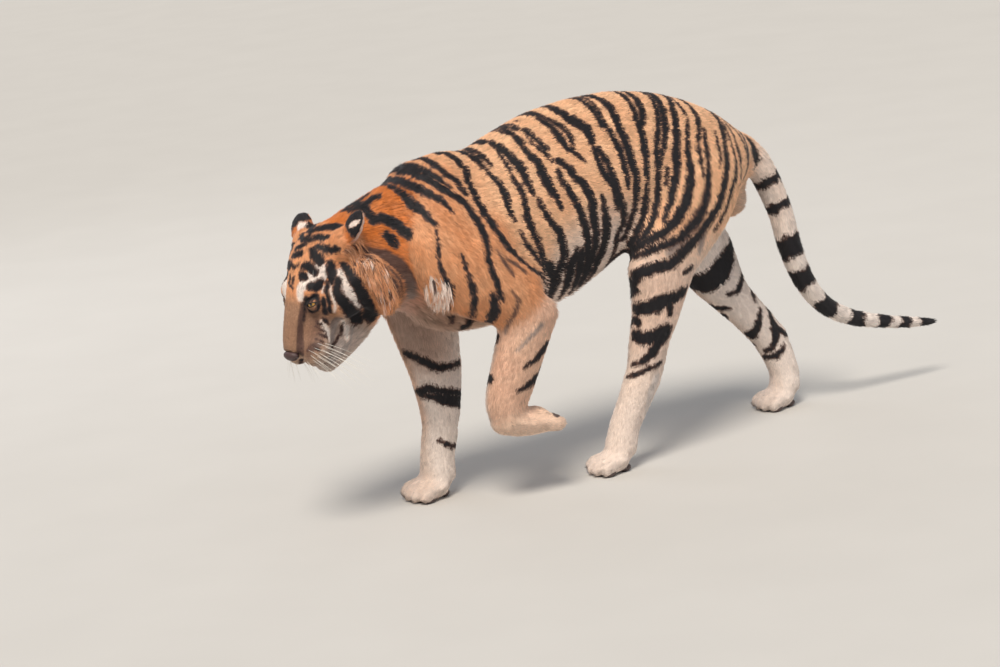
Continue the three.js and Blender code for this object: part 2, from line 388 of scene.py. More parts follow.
def faces_on_head(mesh):
    return head_places(rows_of(mesh.polygons, "center", 3))


def in_box(places, box):
    low, high = box
    return ((places > low) & (places < high)).all(1)


skin = joined_flesh()
skin_points = points_of(skin.data)
skin_net = Net(skin.data)
skin_regions = regions_of(skin_points)
softness = skin_net.even(by_region(skin_regions, 1.0, SOFTNESS), 6)
evened = skin_net.even(skin_points, EVENING, softness)
evened += skin_net.even(skin_points - evened, EVENING, softness)  # gives back what the evening out shrank
set_points(skin.data, evened)
hair_length = skin_net.even(by_region(skin_regions, HAIR, HAIR_OF | {"head": 0.009, "lower_jaw": 0.012}), 12)
set_points(skin.data, evened - normals_of(skin.data) * coat_depth(hair_length)[:, None])
refine(skin.data, in_box(faces_on_head(skin.data), FACE_BOX))
places = faces_on_head(skin.data)
near_eye = np.linalg.norm(mirrored(places) - EYE_ON_HEAD, axis=1) < EYE_AREA
refine(skin.data, near_eye | in_box(places, MUZZLE_BOX))
skin_points = points_of(skin.data)
skin_net = Net(skin.data)

# ---- the face: sockets, brow, mouth and chin --------

# each is [left, ahead, crown] of the middle, [sizes], [move], in the head's centimetres; both sides alike
FACE_MOVES = [
    [[3.3, 1.6, 2.0], [1.2, 1.6, 1.2], [0, 0, -0.35]],  # inner corner of the eye
    [[4.6, -2.3, 3.3], [2.4, 1.3, 1.4], [0, 0.15, 0.35]],  # brow
    [[6.6, 2.0, 0.2], [1.6, 2.0, 1.4], [0.25, 0, 0.2]],  # cheekbone
    [[2.6, 6.5, 1.0], [1.0, 3.6, 1.2], [-0.2, 0, -0.15]],  # side of the bridge
    [[4.2, 4.6, -2.0], [1.3, 1.4, 1.6], [-0.45, 0, 0]],  # hollow behind the whisker pad
    [[3.4, 10.4, -4.0], [2.2, 2.4, 2.4], [0.35, 0.15, 0]],  # whisker pad
    [[0, 10.2, -9.2], [1.9, 1.6, 1.4], [0, 0.45, -0.1]],  # chin
]
MOUTH = [[0, 13.2, -4.0], [1.3, 12.9, -5.0], [2.8, 11.6, -6.2], [4.0, 9.2, -6.9], [4.7, 6.4, -7.1],
         [5.3, 3.8, -6.8], [5.8, 1.6, -6.4]]
PHILTRUM = [[0, 13.6, -2.2], MOUTH[0]]
LIP_DEPTH, LIP_WIDTH = 0.45, 0.32
PHILTRUM_DEPTH, PHILTRUM_WIDTH = 0.2, 0.25


def face_moved(points, normals):
    places = head_places(points)
    for centre, sizes, move in FACE_MOVES:
        amount = nearness(mirrored(places), centre, sizes, 1.2)
        places += amount[:, None] * to_own_side(places, move)
    _, from_lip, _ = along_line(mirrored(places), MOUTH)
    _, from_philtrum, _ = along_line(places, PHILTRUM)
    groove = LIP_DEPTH * np.exp(-((from_lip / LIP_WIDTH) ** 2))
    groove = groove + PHILTRUM_DEPTH * np.exp(-((from_philtrum / PHILTRUM_WIDTH) ** 2))
    return off_head(places - groove[:, None] * (normals @ HEAD_AXES.T))


# ---- the lids: they follow the eyeball round an almond opening that looks ahead and a little down --------

GAZE = (0.48, 0.52, 0.70)  # the left eye's
HALF_WIDTH, UPPER, LOWER = math.radians(49), math.radians(11), math.radians(17)
LID = 1.6 * MM
LID_REACH = 2.6  # how far from the ball's middle the skin is drawn over it, in its radii
LID_SPAN = 0.90  # how much of the ball's width the lids follow
LID_RELEASE = 1.0  # over how far they then run out into the face
SUNK = 2.0 * MM  # how far behind the ball's surface the skin lies inside the opening


def eye_axes(side):
    """Where the eye looks, its outer side and its upper side."""
    left, ahead, crown = GAZE
    gaze = (SIGNS[side] * left * head_left + ahead * head_ahead + crown * head_crown).normalized()
    outer = SIGNS[side] * head_left - 0.25 * head_ahead
    outer = (outer - gaze * outer.dot(gaze)).normalized()
    upper = -head_ahead
    upper = (upper - gaze * upper.dot(gaze) - outer * upper.dot(outer)).normalized()
    return gaze, outer, upper


def opening_edges(across_angle):
    """How high the upper and the lower lid's edges are, as angles, so far across the eye."""
    share = np.clip(1 - (across_angle / HALF_WIDTH) ** 2, 0, 1)
    return UPPER * share**0.7, -LOWER * share**0.8


def in_opening(side, directions, inwards=1.0, margin=0.0):
    """True where a direction from the ball's middle passes between the lids, or within a margin of them."""
    gaze, outer, upper = (np.array(axis) for axis in eye_axes(side))
    across_angle = np.arctan2(directions @ outer, directions @ gaze)
    height_angle = np.arcsin(np.clip(directions @ upper, -1, 1))
    top, bottom = opening_edges(across_angle * inwards)
    between = (height_angle < top + margin) & (height_angle > bottom - margin)
    return between & (np.abs(across_angle) < HALF_WIDTH + margin)


def lids_over(side, points, normals):
    """Draws the skin over the eyeball as two lids, and sinks it behind the ball inside the opening."""
    centre = np.array(EYES[side])
    near = np.linalg.norm(points - centre, axis=1) < LID_REACH * EYE_RADIUS
    out = normals[near].mean(0)
    out /= np.linalg.norm(out)
    offset = (points - centre)[near]
    height = offset @ out
    flat = offset - height[:, None] * out
    reach = np.linalg.norm(flat, axis=1)
    held = EYE_RADIUS + LID
    on_ball = held * np.sqrt(1 - np.clip(reach / held, 0, LID_SPAN) ** 2)
    release = ramp((reach / held - LID_SPAN) / LID_RELEASE, 0, 1)
    raised = height + np.maximum(on_ball - height, 0) * (1 - release)
    raised = np.where((reach < LID_SPAN * held) & (height > -0.6 * held), on_ball, raised)
    moved = flat + raised[:, None] * out
    direction = unit(moved)
    moved = np.where(in_opening(side, direction)[:, None], direction * (EYE_RADIUS - SUNK), moved)
    points = points.copy()
    points[near] = centre + moved
    return points


skin_points = face_moved(skin_points, normals_of(skin.data))
set_points(skin.data, skin_points)
for side in SIGNS:
    skin_points = lids_over(side, skin_points, normals_of(skin.data))
set_points(skin.data, skin_points)
select_only(skin)
bpy.ops.object.shade_smooth()
skin_normals = normals_of(skin.data)
skin_regions = regions_of(skin_points)
on_body(skin, "coat", *FLESH)

# ---- the markings --------

# A mark is its width at its start, middle and end, and the points that it runs through, in centimetres. Marks
# on the body are seen from the side, as [y, z], and those on the head are in the head's own centimetres.
BODY_MARKS = [
    # neck and withers
    [1.2, 1.7, 0.8, [[-61, 79], [-60.3, 77], [-60, 75], [-58.9, 73.3], [-58.4, 71.6], [-57.7, 70.3]]],
    [0.4, 0.6, 1.2, [[-58, 69], [-58.3, 67], [-58.8, 64.5], [-59.3, 62], [-58.6, 58], [-57.5, 55.5],
                     [-57.5, 51]]],
    [2.4, 1.5, 0.6, [[-61.5, 81.5], [-58.5, 80.5], [-57.4, 78.4], [-55.2, 76.3], [-54, 75.4], [-53, 74],
                     [-52.3, 72.4]]],
    [1.6, 1.2, 0.6, [[-52.9, 84.6], [-53.8, 82], [-52.6, 80], [-51.4, 78.6], [-50.2, 77.4]]],
    [2.4, 2.2, 1.4, [[-52.6, 85.2], [-51.2, 84.4]]],
    [1.0, 1.3, 0.8, [[-50, 85.3], [-51, 84], [-50.3, 82], [-49.7, 80], [-47.9, 78.7], [-47.3, 77],
                     [-46.4, 75.4]]],
    [1.0, 1.2, 0.8, [[-42, 84.8], [-40.1, 82.6], [-39.4, 80.2]]],
    [0.8, 1.2, 0.5, [[-39, 78.8], [-38.3, 77.5], [-37.5, 75.8], [-37.2, 73.7], [-37.4, 70.3],
                     [-36.6, 67.3]]],
    [0.7, 0.9, 0.4, [[-38.9, 84.6], [-38, 83.2], [-37.6, 81.2], [-37.4, 80]]],
    [1.4, 2.0, 1.4, [[-70, 73], [-67.5, 73.2], [-65.7, 72], [-64.5, 70.6], [-63.4, 68.6]]],
    [1.4, 1.8, 1.2, [[-68, 69.4], [-67, 68], [-66.6, 67]]],
    [1.2, 1.6, 1.4, [[-72.6, 75.4], [-69.6, 76.3], [-67, 77.2], [-65.4, 77.6]]],
    # ribs
    [1.4, 1.7, 0.8, [[-34.8, 86], [-33.4, 84], [-32.3, 81.3], [-31.7, 79.9], [-31.2, 78], [-31, 75],
                     [-30.7, 72.5]]],
    [0.6, 1.2, 0.8, [[-34, 79.6], [-34, 77], [-33, 73.5], [-33.2, 70.5], [-33.5, 68], [-32.4, 64.5],
                     [-31.3, 61], [-30.3, 57], [-29.8, 54]]],
    [0.4, 0.9, 0.8, [[-35.9, 65.2], [-35.2, 62.8], [-33.8, 60.5], [-32.6, 58.6], [-31.2, 56.6]]],
    [0.8, 1.2, 0.8, [[-29, 87.4], [-26.8, 87.2], [-25.4, 86.3], [-25, 85.2], [-24.3, 83.8], [-23.7, 82.2]]],
    [0.6, 0.7, 0.4, [[-29.5, 86.3], [-28.6, 86], [-28, 85.2], [-27.4, 84]]],
    [1.0, 1.9, 0.7, [[-28.5, 82.7], [-27.8, 81], [-27, 79.7], [-26.9, 77], [-26.4, 74.5], [-25.7, 72.4],
                     [-24.9, 70.5], [-24.3, 68.3]]],
    [0.4, 0.8, 0.5, [[-26.1, 83.6], [-25.3, 82.5], [-24.3, 81.1], [-23.4, 79]]],
    [0.4, 0.7, 0.4, [[-26.2, 88.6], [-24.4, 88.2]]],
    [0.8, 1.4, 1.2, [[-29.8, 71.3], [-29.3, 69.5], [-28.1, 67.2], [-27.1, 64.9], [-25.6, 63], [-24.7, 60],
                     [-24.2, 57], [-24.8, 54.5], [-25.6, 52]]],
    [0.8, 1.4, 0.5, [[-21.5, 90.2], [-20.3, 89.2], [-20.5, 88], [-19.6, 86], [-19.3, 83.3], [-18.5, 81.4],
                     [-17.2, 80], [-15.7, 78]]],
    [0.8, 1.1, 0.7, [[-19.8, 88.8], [-18, 86.9], [-17.2, 85.4], [-16.9, 84], [-16.8, 82]]],
    # middle of the flank
    [1.0, 2.2, 1.6, [[-16.2, 92], [-15.2, 90], [-15, 88.9], [-14.6, 87.7], [-13, 86.3], [-12.1, 85],
                     [-12, 81.9]]],
    [1.0, 1.3, 1.2, [[-12, 80.5], [-12, 78], [-12, 76.4], [-11.4, 74.6], [-10.6, 72.9], [-9.4, 70.9],
                     [-8.9, 68.5], [-8.4, 65.5]]],
    [1.0, 1.5, 1.2, [[-11, 80], [-10.2, 77.9], [-9.6, 76.2], [-9.3, 74.4], [-8.9, 72.2], [-8.3, 69.6],
                     [-7.7, 67.3], [-7, 65.5], [-6.5, 62.9], [-6.8, 60.7], [-8, 58.4]]],
    [0.7, 2.0, 1.2, [[-13, 69.2], [-12.6, 67.4], [-12.3, 64.5], [-12, 61], [-12.1, 58], [-12.5, 55.5],
                     [-13.2, 52.5]]],
    [1.1, 1.7, 1.2, [[-22, 79], [-20, 77], [-19.2, 74.7], [-17.3, 72.7], [-16.4, 70.2], [-15.8, 67.9],
                     [-15.8, 65], [-15.2, 61], [-15, 58], [-15.3, 55], [-15.6, 52]]],
    [0.8, 1.4, 1.4, [[-22.8, 77], [-22.7, 74.3], [-21.8, 73], [-21, 70.4], [-19.9, 68.5], [-19.3, 66.7],
                     [-18.8, 64.4], [-18, 62.2], [-17.7, 59.9], [-17.2, 57.3], [-16.5, 54.5]]],
    [1.0, 1.8, 1.6, [[-20.8, 57.4], [-20.7, 55.4], [-21.8, 53.8]]],
    [1.0, 1.8, 1.6, [[-19, 57], [-18.6, 55], [-18.6, 52.6]]],
    [1.6, 2.4, 1.4, [[-29, 55], [-28, 53.5], [-27, 52.3], [-26.5, 50.6]]],
    [1.4, 1.7, 1.0, [[-5.3, 92.4], [-3.4, 90.8], [-2.6, 89.2], [-2.6, 88], [-3.3, 84], [-3, 80], [-2.9, 76],
                     [-2.4, 72], [-2.6, 67], [-3.3, 64], [-4.9, 59.8], [-6, 57.2]]],
    [0.7, 1.4, 1.0, [[-5.6, 89.6], [-6.3, 87.8], [-7, 86], [-6.5, 84], [-5.7, 80.7], [-5.2, 76],
                     [-4.9, 70]]],
    [1.0, 2.0, 0.8, [[-7.4, 86.8], [-7.1, 85.4], [-6.6, 83.8]]],
    [1.0, 1.4, 1.3, [[3.9, 89.4], [3.4, 87.2], [2.6, 85.2], [2.4, 81.5], [1.8, 78], [1.6, 75.5], [1, 72]]],
    [1.0, 1.4, 1.2, [[6.8, 91], [6.4, 88.6], [5.4, 86], [3.6, 83.4]]],
    [0.7, 1.5, 1.0, [[1.3, 72.3], [1.1, 70], [0.6, 67], [-0.1, 64], [-0.8, 61.8], [-1.8, 59.9], [-3, 57.8],
                     [-4.4, 55.6]]],
    [1.0, 1.3, 0.9, [[11.4, 88.6], [10, 85.3], [8.5, 82.8], [7.2, 80.6], [5.6, 78], [4.9, 75], [4.7, 72.5],
                     [4.4, 69.8], [4.1, 67], [3.4, 64.6], [2.1, 62.3], [1.1, 60.3], [-0.1, 59],
                     [-1.5, 57.3], [-3.2, 55.6]]],
    [1.3, 1.4, 0.8, [[13.6, 90], [12.8, 88], [12, 85.7], [10.7, 83.4], [9.7, 81], [8.7, 79], [7.4, 76.7],
                     [6.2, 74.8], [5.5, 72.8]]],
    [0.5, 0.9, 0.5, [[7.7, 72], [7, 70], [6.4, 68]]],
]
# marks that follow the fore leg and the shoulder
SHOULDER_MARKS = [
    [1.6, 1.3, 1.0, [[-54.5, 84], [-55, 81], [-53.3, 78.6], [-50.8, 76.3], [-47.8, 73.6], [-46.3, 69.6],
                     [-45.6, 65], [-46.4, 62], [-47, 60.3], [-46.7, 58], [-45.8, 54], [-45.4, 50.5]]],
    [1.2, 1.2, 0.6, [[-46.5, 85.6], [-44.8, 83.3], [-44, 80], [-44.9, 78], [-44.3, 74], [-43.4, 69.6],
                     [-42.2, 66.3], [-40.9, 63.7], [-39.4, 61], [-37.2, 58.5], [-34.8, 55.8], [-31.3, 53.2],
                     [-29, 51]]],
    [0.5, 1.0, 0.8, [[-53.7, 62.4], [-53.5, 60.4], [-53.1, 58.3], [-52.6, 56.2], [-52.2, 53.6], [-52, 51],
                     [-51.8, 48], [-51.6, 45]]],
    [1.2, 2.0, 1.2, [[-47.6, 52], [-47.1, 50], [-47, 47.5], [-47.2, 45], [-47.8, 42.5]]],
    [1.0, 1.0, 0.5, [[-30.4, 48.4], [-28.6, 47.8], [-28, 47.4]]],
]
FORELEG_MARKS = [
    [1.8, 1.3, 0.5, [[-33.6, 37], [-36.4, 35], [-38.4, 34.1], [-40.8, 33]]],
    [2.0, 1.6, 0.5, [[-33.4, 33], [-35.8, 30.5], [-38.6, 28.9], [-41, 28], [-43.2, 27.6]]],
    [0.5, 0.5, 0.3, [[-48.6, 33.4], [-47.4, 33.6], [-46.6, 34.2]]],
]
FORELEG_BROWN = [
    [0.5, 1.0, 0.6, [[-42.4, 52], [-40.8, 49.5], [-41.8, 46.6], [-43.2, 44.2], [-43.7, 41.6]]],
    [1.0, 0.8, 0.4, [[-35.6, 42.4], [-37.5, 41], [-40, 39.2], [-42.4, 37.3]]],
    [0.6, 1.1, 0.8, [[-43.5, 61.5], [-42.8, 59.5], [-42, 57.5], [-41, 55.5]]],
    [0.6, 1.2, 0.8, [[-41.5, 59.3], [-38.5, 57], [-37, 55]]],
]
FORELEG_INNER = [
    [1.1, 1.6, 1.1, [[-58.4, 36.6], [-56, 35.8], [-52.5, 33.4], [-49.8, 31.4], [-46.8, 31.1], [-43, 31.2]]],
    [1.4, 1.4, 1.4, [[-56.4, 26.1], [-54, 26.2], [-52.6, 26.8], [-50.3, 25.8], [-47, 24.6], [-43, 23.6]]],
    [0.8, 2.6, 2.6, [[-54.6, 25.4], [-51.5, 24.5], [-48, 23.3], [-44.5, 22.2], [-43, 22]]],
    [0.5, 1.0, 0.7, [[-52.6, 14], [-51, 13], [-49.4, 12], [-47.6, 11.6]]],
]
# marks that follow the hind leg and the rump
RUMP_MARKS = [
    [1.2, 1.9, 0.8, [[18.4, 89], [17, 87], [15.5, 85.5], [14.2, 83], [13.3, 81], [12.4, 78.6], [11.6, 76.5],
                     [10.9, 74.5], [10.5, 72.5], [9.9, 70.2], [8.6, 67.8], [7.3, 65.5], [6.3, 63.6],
                     [4.8, 61.7], [3.4, 59.8]]],
    [0.8, 2.0, 1.0, [[18.2, 82.4], [16.7, 80], [15.8, 78], [14.9, 76], [14.3, 73], [14.2, 71.6],
                     [13.6, 69.5], [12.8, 67], [11.3, 65], [10.2, 63], [8.7, 61.5], [7.1, 60], [5.5, 58.8],
                     [3.9, 57.8], [2.1, 56.8], [-0.2, 56.3], [-1.8, 55.5], [-3.4, 54.5], [-5, 53.3],
                     [-6.8, 51.8]]],
    [1.2, 1.2, 0.6, [[21.6, 85.6], [21.9, 83], [21.2, 81], [20, 79], [18.5, 76.4], [17.8, 74], [17.1, 70.5],
                     [16.6, 67.6]]],
    [0.8, 1.8, 1.1, [[21.9, 78.8], [20.7, 76], [19.9, 73], [18.9, 70], [17.8, 67], [16.9, 64.5], [15.7, 62],
                     [14.1, 60], [12.6, 58.6], [10.3, 57.2], [8.5, 56], [6.5, 55], [4, 54.3], [1.1, 53.9],
                     [-1.2, 53.5], [-3.5, 52.6], [-5, 51.9], [-7.4, 50.6]]],
    [1.1, 1.9, 2.0, [[28.4, 83.6], [29, 80.8], [28.6, 78], [28.3, 77], [27, 74.4], [25.7, 71.3], [24.8, 69],
                     [23.9, 67], [22.8, 64.8], [21, 62], [19.5, 60], [17.2, 58.2], [14, 55.8], [11.5, 54],
                     [8.2, 52.2], [5.5, 50.6], [2.7, 49.3], [0, 49.2], [-2.2, 49], [-4.6, 48.4],
                     [-6.3, 46.8], [-7.8, 44.4]]],
    [0.7, 1.2, 0.8, [[29.8, 76], [29.4, 72], [29.3, 69.4], [27.7, 66.3], [25.8, 63.8], [24, 61],
                     [22.3, 58.6], [20.6, 56.8], [18, 54.6]]],
    [0.6, 0.9, 0.6, [[32.5, 79.6], [33, 77.7], [34.5, 75.8], [35.2, 73], [35.3, 71], [35.5, 67.6]]],
    [0.6, 0.8, 0.4, [[25.4, 77.6], [24.6, 75], [23.6, 72], [22.6, 69.4]]],
    [1.0, 1.3, 0.7, [[37.6, 77], [37, 74.3], [36.7, 71.7], [35.9, 68.7], [35.2, 65.5], [33.6, 62]]],
    [1.2, 1.9, 1.2, [[39.4, 73.2], [40.3, 71.2], [41.1, 68.5], [41.6, 66.4]]],
    [0.7, 0.9, 0.6, [[31.5, 77.5], [31.7, 76], [31.6, 73.6], [31.8, 70.4], [31.2, 67], [29.8, 63.6]]],
]
HINDLEG_MARKS = [
    [0.6, 1.0, 0.8, [[6.6, 46.3], [8, 46.8], [9.6, 47.2]]],
    [1.6, 3.0, 2.0, [[7, 42], [4.5, 41.2], [2, 40.6], [0, 40.3], [-2, 39.9], [-4.3, 39.4], [-7, 38.5]]],
    [1.2, 1.2, 0.8, [[1.8, 39.5], [1.7, 36.8]]],
    [1.8, 2.4, 1.8, [[-7.2, 35.2], [-6.4, 33.4], [-5.3, 32.2], [-3.8, 31.8], [-2.3, 32.3], [-0.6, 33.3],
                     [1.4, 33.6]]],
    [2.0, 1.8, 0.6, [[1.4, 32], [-0.7, 31], [-2.2, 29], [-3.7, 27.5], [-5.6, 26.1], [-7.4, 25.5]]],
    [0.7, 0.9, 0.7, [[-9.4, 22.8], [-7, 23.2], [-5, 24], [-2.8, 24.6], [-0.4, 25]]],
]
HINDLEG_BROWN_AND_SHADE = [
    [1.2, 1.6, 1.2, [[12.4, 50.4], [13.3, 53], [14.4, 55]]],
    # the back edge of the shank: dark brown fur with painted shade
    [1.4, 1.8, 1.2, [[-1.6, 22], [-3.4, 19], [-4, 16.5], [-4.8, 13]]],
    [1.6, 2.6, 1.6, [[17.6, 66], [15, 61.4], [11.4, 58], [7, 54.8], [3, 52]]],
]
HINDLEG_INNER = [
    [3.4, 4.4, 2.0, [[27, 36.4], [30.5, 35.9], [32.5, 36.5], [34.3, 37.6], [35.9, 39.2], [37.9, 41.1],
                     [39.3, 42.6], [41.4, 44.6]]],
    [1.0, 1.2, 0.8, [[33, 29.9], [34.5, 28.8], [36.8, 28.3]]],
    [0.8, 1.2, 0.7, [[43.8, 37.5], [41.5, 34.5], [39, 32.3], [36.7, 32.2]]],
    [0.8, 1.0, 0.6, [[45.5, 33.8], [45, 31.5], [44.4, 29]]],
    [0.8, 2.0, 1.6, [[45.7, 26.4], [44.8, 24], [44, 22.2], [43.2, 20.4], [41.7, 19.5], [39.7, 20.8],
                     [37.2, 23]]],
    [1.2, 1.6, 0.8, [[49, 25.8], [48.9, 22], [49, 19], [48.3, 17.2], [47.2, 16], [46, 15.5]]],
    [1.0, 1.3, 1.0, [[49.6, 22], [50.4, 20.3], [52, 19], [53.6, 18.4]]],
    [0.7, 1.3, 1.0, [[51.2, 16.2], [49.7, 14.8], [48.2, 13.8], [46.5, 13.5], [45.2, 14]]],
]
TAIL_RINGS = [[13.6, 16.4], [20.8, 23.6], [30.6, 36], [39.6, 45.2], [50.2, 56.2], [61.6, 66.6], [71, 75],
              [78.6, 82], [85.8, 95]]

# marks on the head are as wide as they say, where the others are drawn wider, and each is on both sides
HEAD_MARKS = [
    [1.4, 1.9, 1.3, [[0.7, -12, 8], [3.1, -13, 7.3], [5.5, -13.9, 5.9]]],
    [1.5, 1.9, 1.3, [[4.8, -11.3, 6.7], [6.2, -11.1, 5.9], [9.5, -11.7, 4.5]]],
    [2.0, 2.8, 1.9, [[0.5, -14.5, 7.3], [2, -15.8, 6.2], [3.6, -17.1, 4.8], [6.2, -17.6, 4.6]]],
    [1.9, 2.5, 1.9, [[4.3, -9.8, 7.4], [5.4, -9, 6.4], [6.1, -8.2, 5.6]]],
    [1.7, 2.3, 1.9, [[3, -6.3, 7.3], [4.5, -6.3, 6.6], [5.4, -5.7, 5.6]]],
    [2.0, 2.3, 1.9, [[2.8, -4.3, 6.6], [3.5, -4, 6.2]]],
    [1.9, 2.3, 1.6, [[5.5, -2.4, 4.9], [6.2, -2.7, 4.3], [6.4, -3.6, 3.8], [6.5, -4.4, 3.6]]],
    [0.4, 0.6, 0.4, [[0, -5.3, 7.8], [1, -6, 7.8], [1.7, -6.7, 7.8]]],
    [0.4, 0.5, 0.3, [[1, -3.6, 7.2], [0.7, -2.9, 7], [0.8, -2.1, 6.8]]],
    [0.9, 1.9, 1.1, [[3.4, 0.9, 2.6], [3.9, -0.5, 3.5], [4.9, -1.2, 3.6], [5.9, -0.9, 3], [6.5, 0.2, 2.2]]],
    [1.0, 0.8, 0.9, [[6.5, 0.2, 2.2], [6.2, 1.5, 1.4], [5.2, 2.2, 1.4], [4.2, 2.1, 1.9], [3.4, 0.9, 2.6]]],
    [1.1, 1.5, 1.1, [[6.6, -1.2, 1.5], [6.8, -0.1, 0.7], [6.3, 1.2, -0.5]]],
    [0.9, 1.0, 0.5, [[3.5, 0.8, 3.4], [3.2, 2.7, 2.6], [2.9, 4.4, 2]]],
    [1.9, 2.45, 2.1, [[7.7, -8.5, 3.8], [7.8, -7.1, 3.0], [8.2, -5.3, 2.5]]],
    [1.1, 1.35, 0.8, [[7.2, -4.7, 2.8], [7.5, -3.0, 2.1], [8.0, -1.8, 1.5], [8.1, -0.3, 0.6],
                      [7.8, 1.2, -0.6]]],
    [1.7, 2.9, 3.3, [[9.3, -5.6, 1.6], [9.5, -3.4, 0.7], [10.1, -2, -1], [9.9, -1.3, -3.3],
                     [8.8, -1.0, -5.8], [6.8, -1.2, -8.4]]],
    [1.9, 2.9, 3.5, [[9.0, -9.3, 1.6], [11, -7.8, -0.5], [11.4, -6, -2.9], [10.6, -4.4, -6.3],
                     [8.6, -3.8, -9.5], [6, -3.6, -11.4]]],
    [0.4, 0.65, 0.35, [[4.5, 3.5, -0.2], [5, 3.8, -1.1], [5.3, 3.9, -2.1]]],
    [0.4, 0.65, 0.35, [[4.4, 4.5, -0.8], [4.9, 4.7, -1.9], [5.2, 4.8, -3.3]]],
    [0.35, 0.6, 0.3, [[4.7, 5.6, -2], [5.1, 5.6, -2.8], [5.1, 5.6, -4]]],
    [0.4, 0.65, 0.35, [[5.5, 2.4, -0.9], [5.7, 2.7, -1.8], [5.7, 2.9, -2.8]]],
    [0.3, 0.4, 0.3, [[4.3, 7.2, -2.4], [4.9, 7.4, -3.8]]],
    [0.3, 0.4, 0.3, [[4.1, 8.8, -2.6], [4.8, 9, -3.8]]],
    [0.5, 0.6, 0.4, MOUTH],
]
# marks across the middle of the forehead, which aren't repeated
FOREHEAD_MARKS = [
    [1.3, 1.8, 1.3, [[-2.1, -8.1, 7.8], [0, -8.3, 8.3], [1.2, -9, 8.2]]],
    [0.9, 1.4, 0.9, [[-1.4, -9.6, 8.2], [0.2, -10.3, 8.4], [1.3, -11.2, 8.0]]],
    [1.3, 1.7, 1.3, [[-3, -5, 7.2], [-2.4, -5.4, 7.4], [-1, -5.9, 7.8]]],
    [1.3, 1.7, 1.3, [[-5, -3.4, 5.5], [-3.9, -3.9, 6.1]]],
    [0.4, 0.6, 0.4, [[-1, -2.2, 6.8], [0, -1.6, 6.6], [1.1, -0.9, 6.4]]],
    [1.3, 1.7, 1.3, [[-0.3, -12, 8.1], [0.5, -12.6, 8], [1.2, -13.1, 7.7]]],
]
NECK_PALE = [
    [1.2, 2.2, 1.4, [[-61, 57.6], [-60.2, 56.4], [-59.4, 54.6], [-59, 52.6]]],
]
# partly dark streaks of hair, partly painted shadow of the head and the ruff on the lower side of the neck
NECK_BROWN_AND_SHADOW = [
    [1.6, 3.0, 2.2, [[-73.5, 67], [-70, 65.2], [-66.4, 62], [-64, 58], [-62.6, 54]]],
    [0.8, 1.2, 0.6, [[-72, 62], [-69, 59], [-67, 55]]],
    [0.7, 1.1, 0.5, [[-70, 62.4], [-66.6, 58.6], [-65.2, 53]]],
]
HEAD_BROWN_AND_SHADE = [
    [1.8, 3.0, 2.2, [[4.9, 6.6, -5.6], [4.3, 5.6, -7.8], [3.6, 5.2, -9.6]]],
    [1.3, 2.0, 2.3, [[3.5, 0.8, 4.3], [3.1, 2.7, 3.3], [2.7, 5.1, 2.2], [2.4, 8.1, 0.6], [2.5, 11.1, -1]]],
    [1.6, 2.4, 1.6, [[4, 10, -1.5], [4.8, 9.1, -1.7], [5.4, 7.9, -2.7]]],
    # these two: dark fur darkened further with painted shade, on the lower jaw and on the cheek behind the
    # whisker pad
    [2.4, 3.6, 2.6, [[6, 1.6, -8], [4.6, 5, -9.4], [3, 9, -8.6]]],
    [2.4, 3.4, 2.6, [[7.4, 1.4, -3.6], [6.4, 3.4, -5.4], [5, 6, -6.8]]],
    # these two: painted shade behind the ear and at the back of the cheek
    [1.3, 1.9, 1.3, [[10.1, -12.2, 2.6], [9.4, -14.2, -1], [10.3, -14.4, -3.8]]],
    [1.3, 2.1, 2.1, [[10.4, -12.5, -1.1], [12, -12.4, -3.7], [12, -12.2, -6.7]]],
]
HEAD_PALE = [
    [2.4, 3.7, 2.2, [[6.2, -7.4, 5.4], [6.8, -6, 4.3], [6.2, -4.9, 4.1], [5, -3.8, 5.4], [4.2, -2.6, 5.8],
                     [3.3, -1.4, 5.6], [3.3, 0, 4.8]]],
    [0.6, 0.9, 0.6, [[7, -3.4, 2.9], [6.9, -2.4, 2.6]]],
    [0.6, 0.9, 0.5, [[8, -4.8, 2.4], [8.5, -3.1, 1.7], [9, -1.9, 0.6], [9, -0.6, -0.6], [8.5, 0.6, -1.2]]],
    [1.6, 2.6, 1.9, [[8.8, -7.6, 1.9], [10, -6.1, 0.6], [10.6, -4.4, -1.2], [10.5, -3.4, -3.1],
                     [10, -3.2, -5.3], [8.6, -2.6, -7.6]]],
    [1.0, 1.6, 1.2, [[6.8, 0.9, -5.3], [5.2, 1.8, -7.8], [4.7, 3.5, -9]]],
    [1.2, 1.7, 1.2, [[5.3, 3.3, -1.3], [5.3, 4.3, -3.1], [4.9, 5.8, -5.1]]],
]
EAR_SPOTS = {
    1: [[1.1, 1.6, 1.0, [[11.6, -17.2, 5.5], [12.5, -17.7, 5.4], [13.4, -18.4, 5.2]]]],
    -1: [[1.6, 2.2, 1.6, [[7.2, -16.6, 4.6], [8.8, -16.2, 5.0], [9.8, -16.4, 4.8]]]],
}

# ---- drawing the marks on the skin --------

SPACING = 3 * MM
ABOVE = 3  # metres; well over the tiger
OVER_THE_BACK = 6 * CM  # how near the spine's height a mark's upper end is when it goes on over the back
BACK_FROM, BACK_TO = -0.75, 0.36  # the stretch of the back that marks run over
UNDER_FROM, UNDER_TO = -0.34, 0.02  # the stretch of the belly that marks run on to
BELLY_LOW, BELLY_HIGH = 0.46, 0.60  # how high a mark's lower end lies when it goes on under the belly
LONGEST_GAP = 8 * CM  # a wider gap between two points of a mark stays open
SIDE_SHIFT, HEAD_SHIFT = 0.5, 0.12  # how far a mark strays from its mirror image, in centimetres
skin_tree = BVHTree.FromPolygons([Vector(point) for point in skin_points],
                                 [list(polygon.vertices) for polygon in skin.data.polygons])


def skin_at(start, towards):
    """Where a line from a place first meets the skin, or None."""
    return skin_tree.ray_cast(Vector(start), Vector(towards))[0]


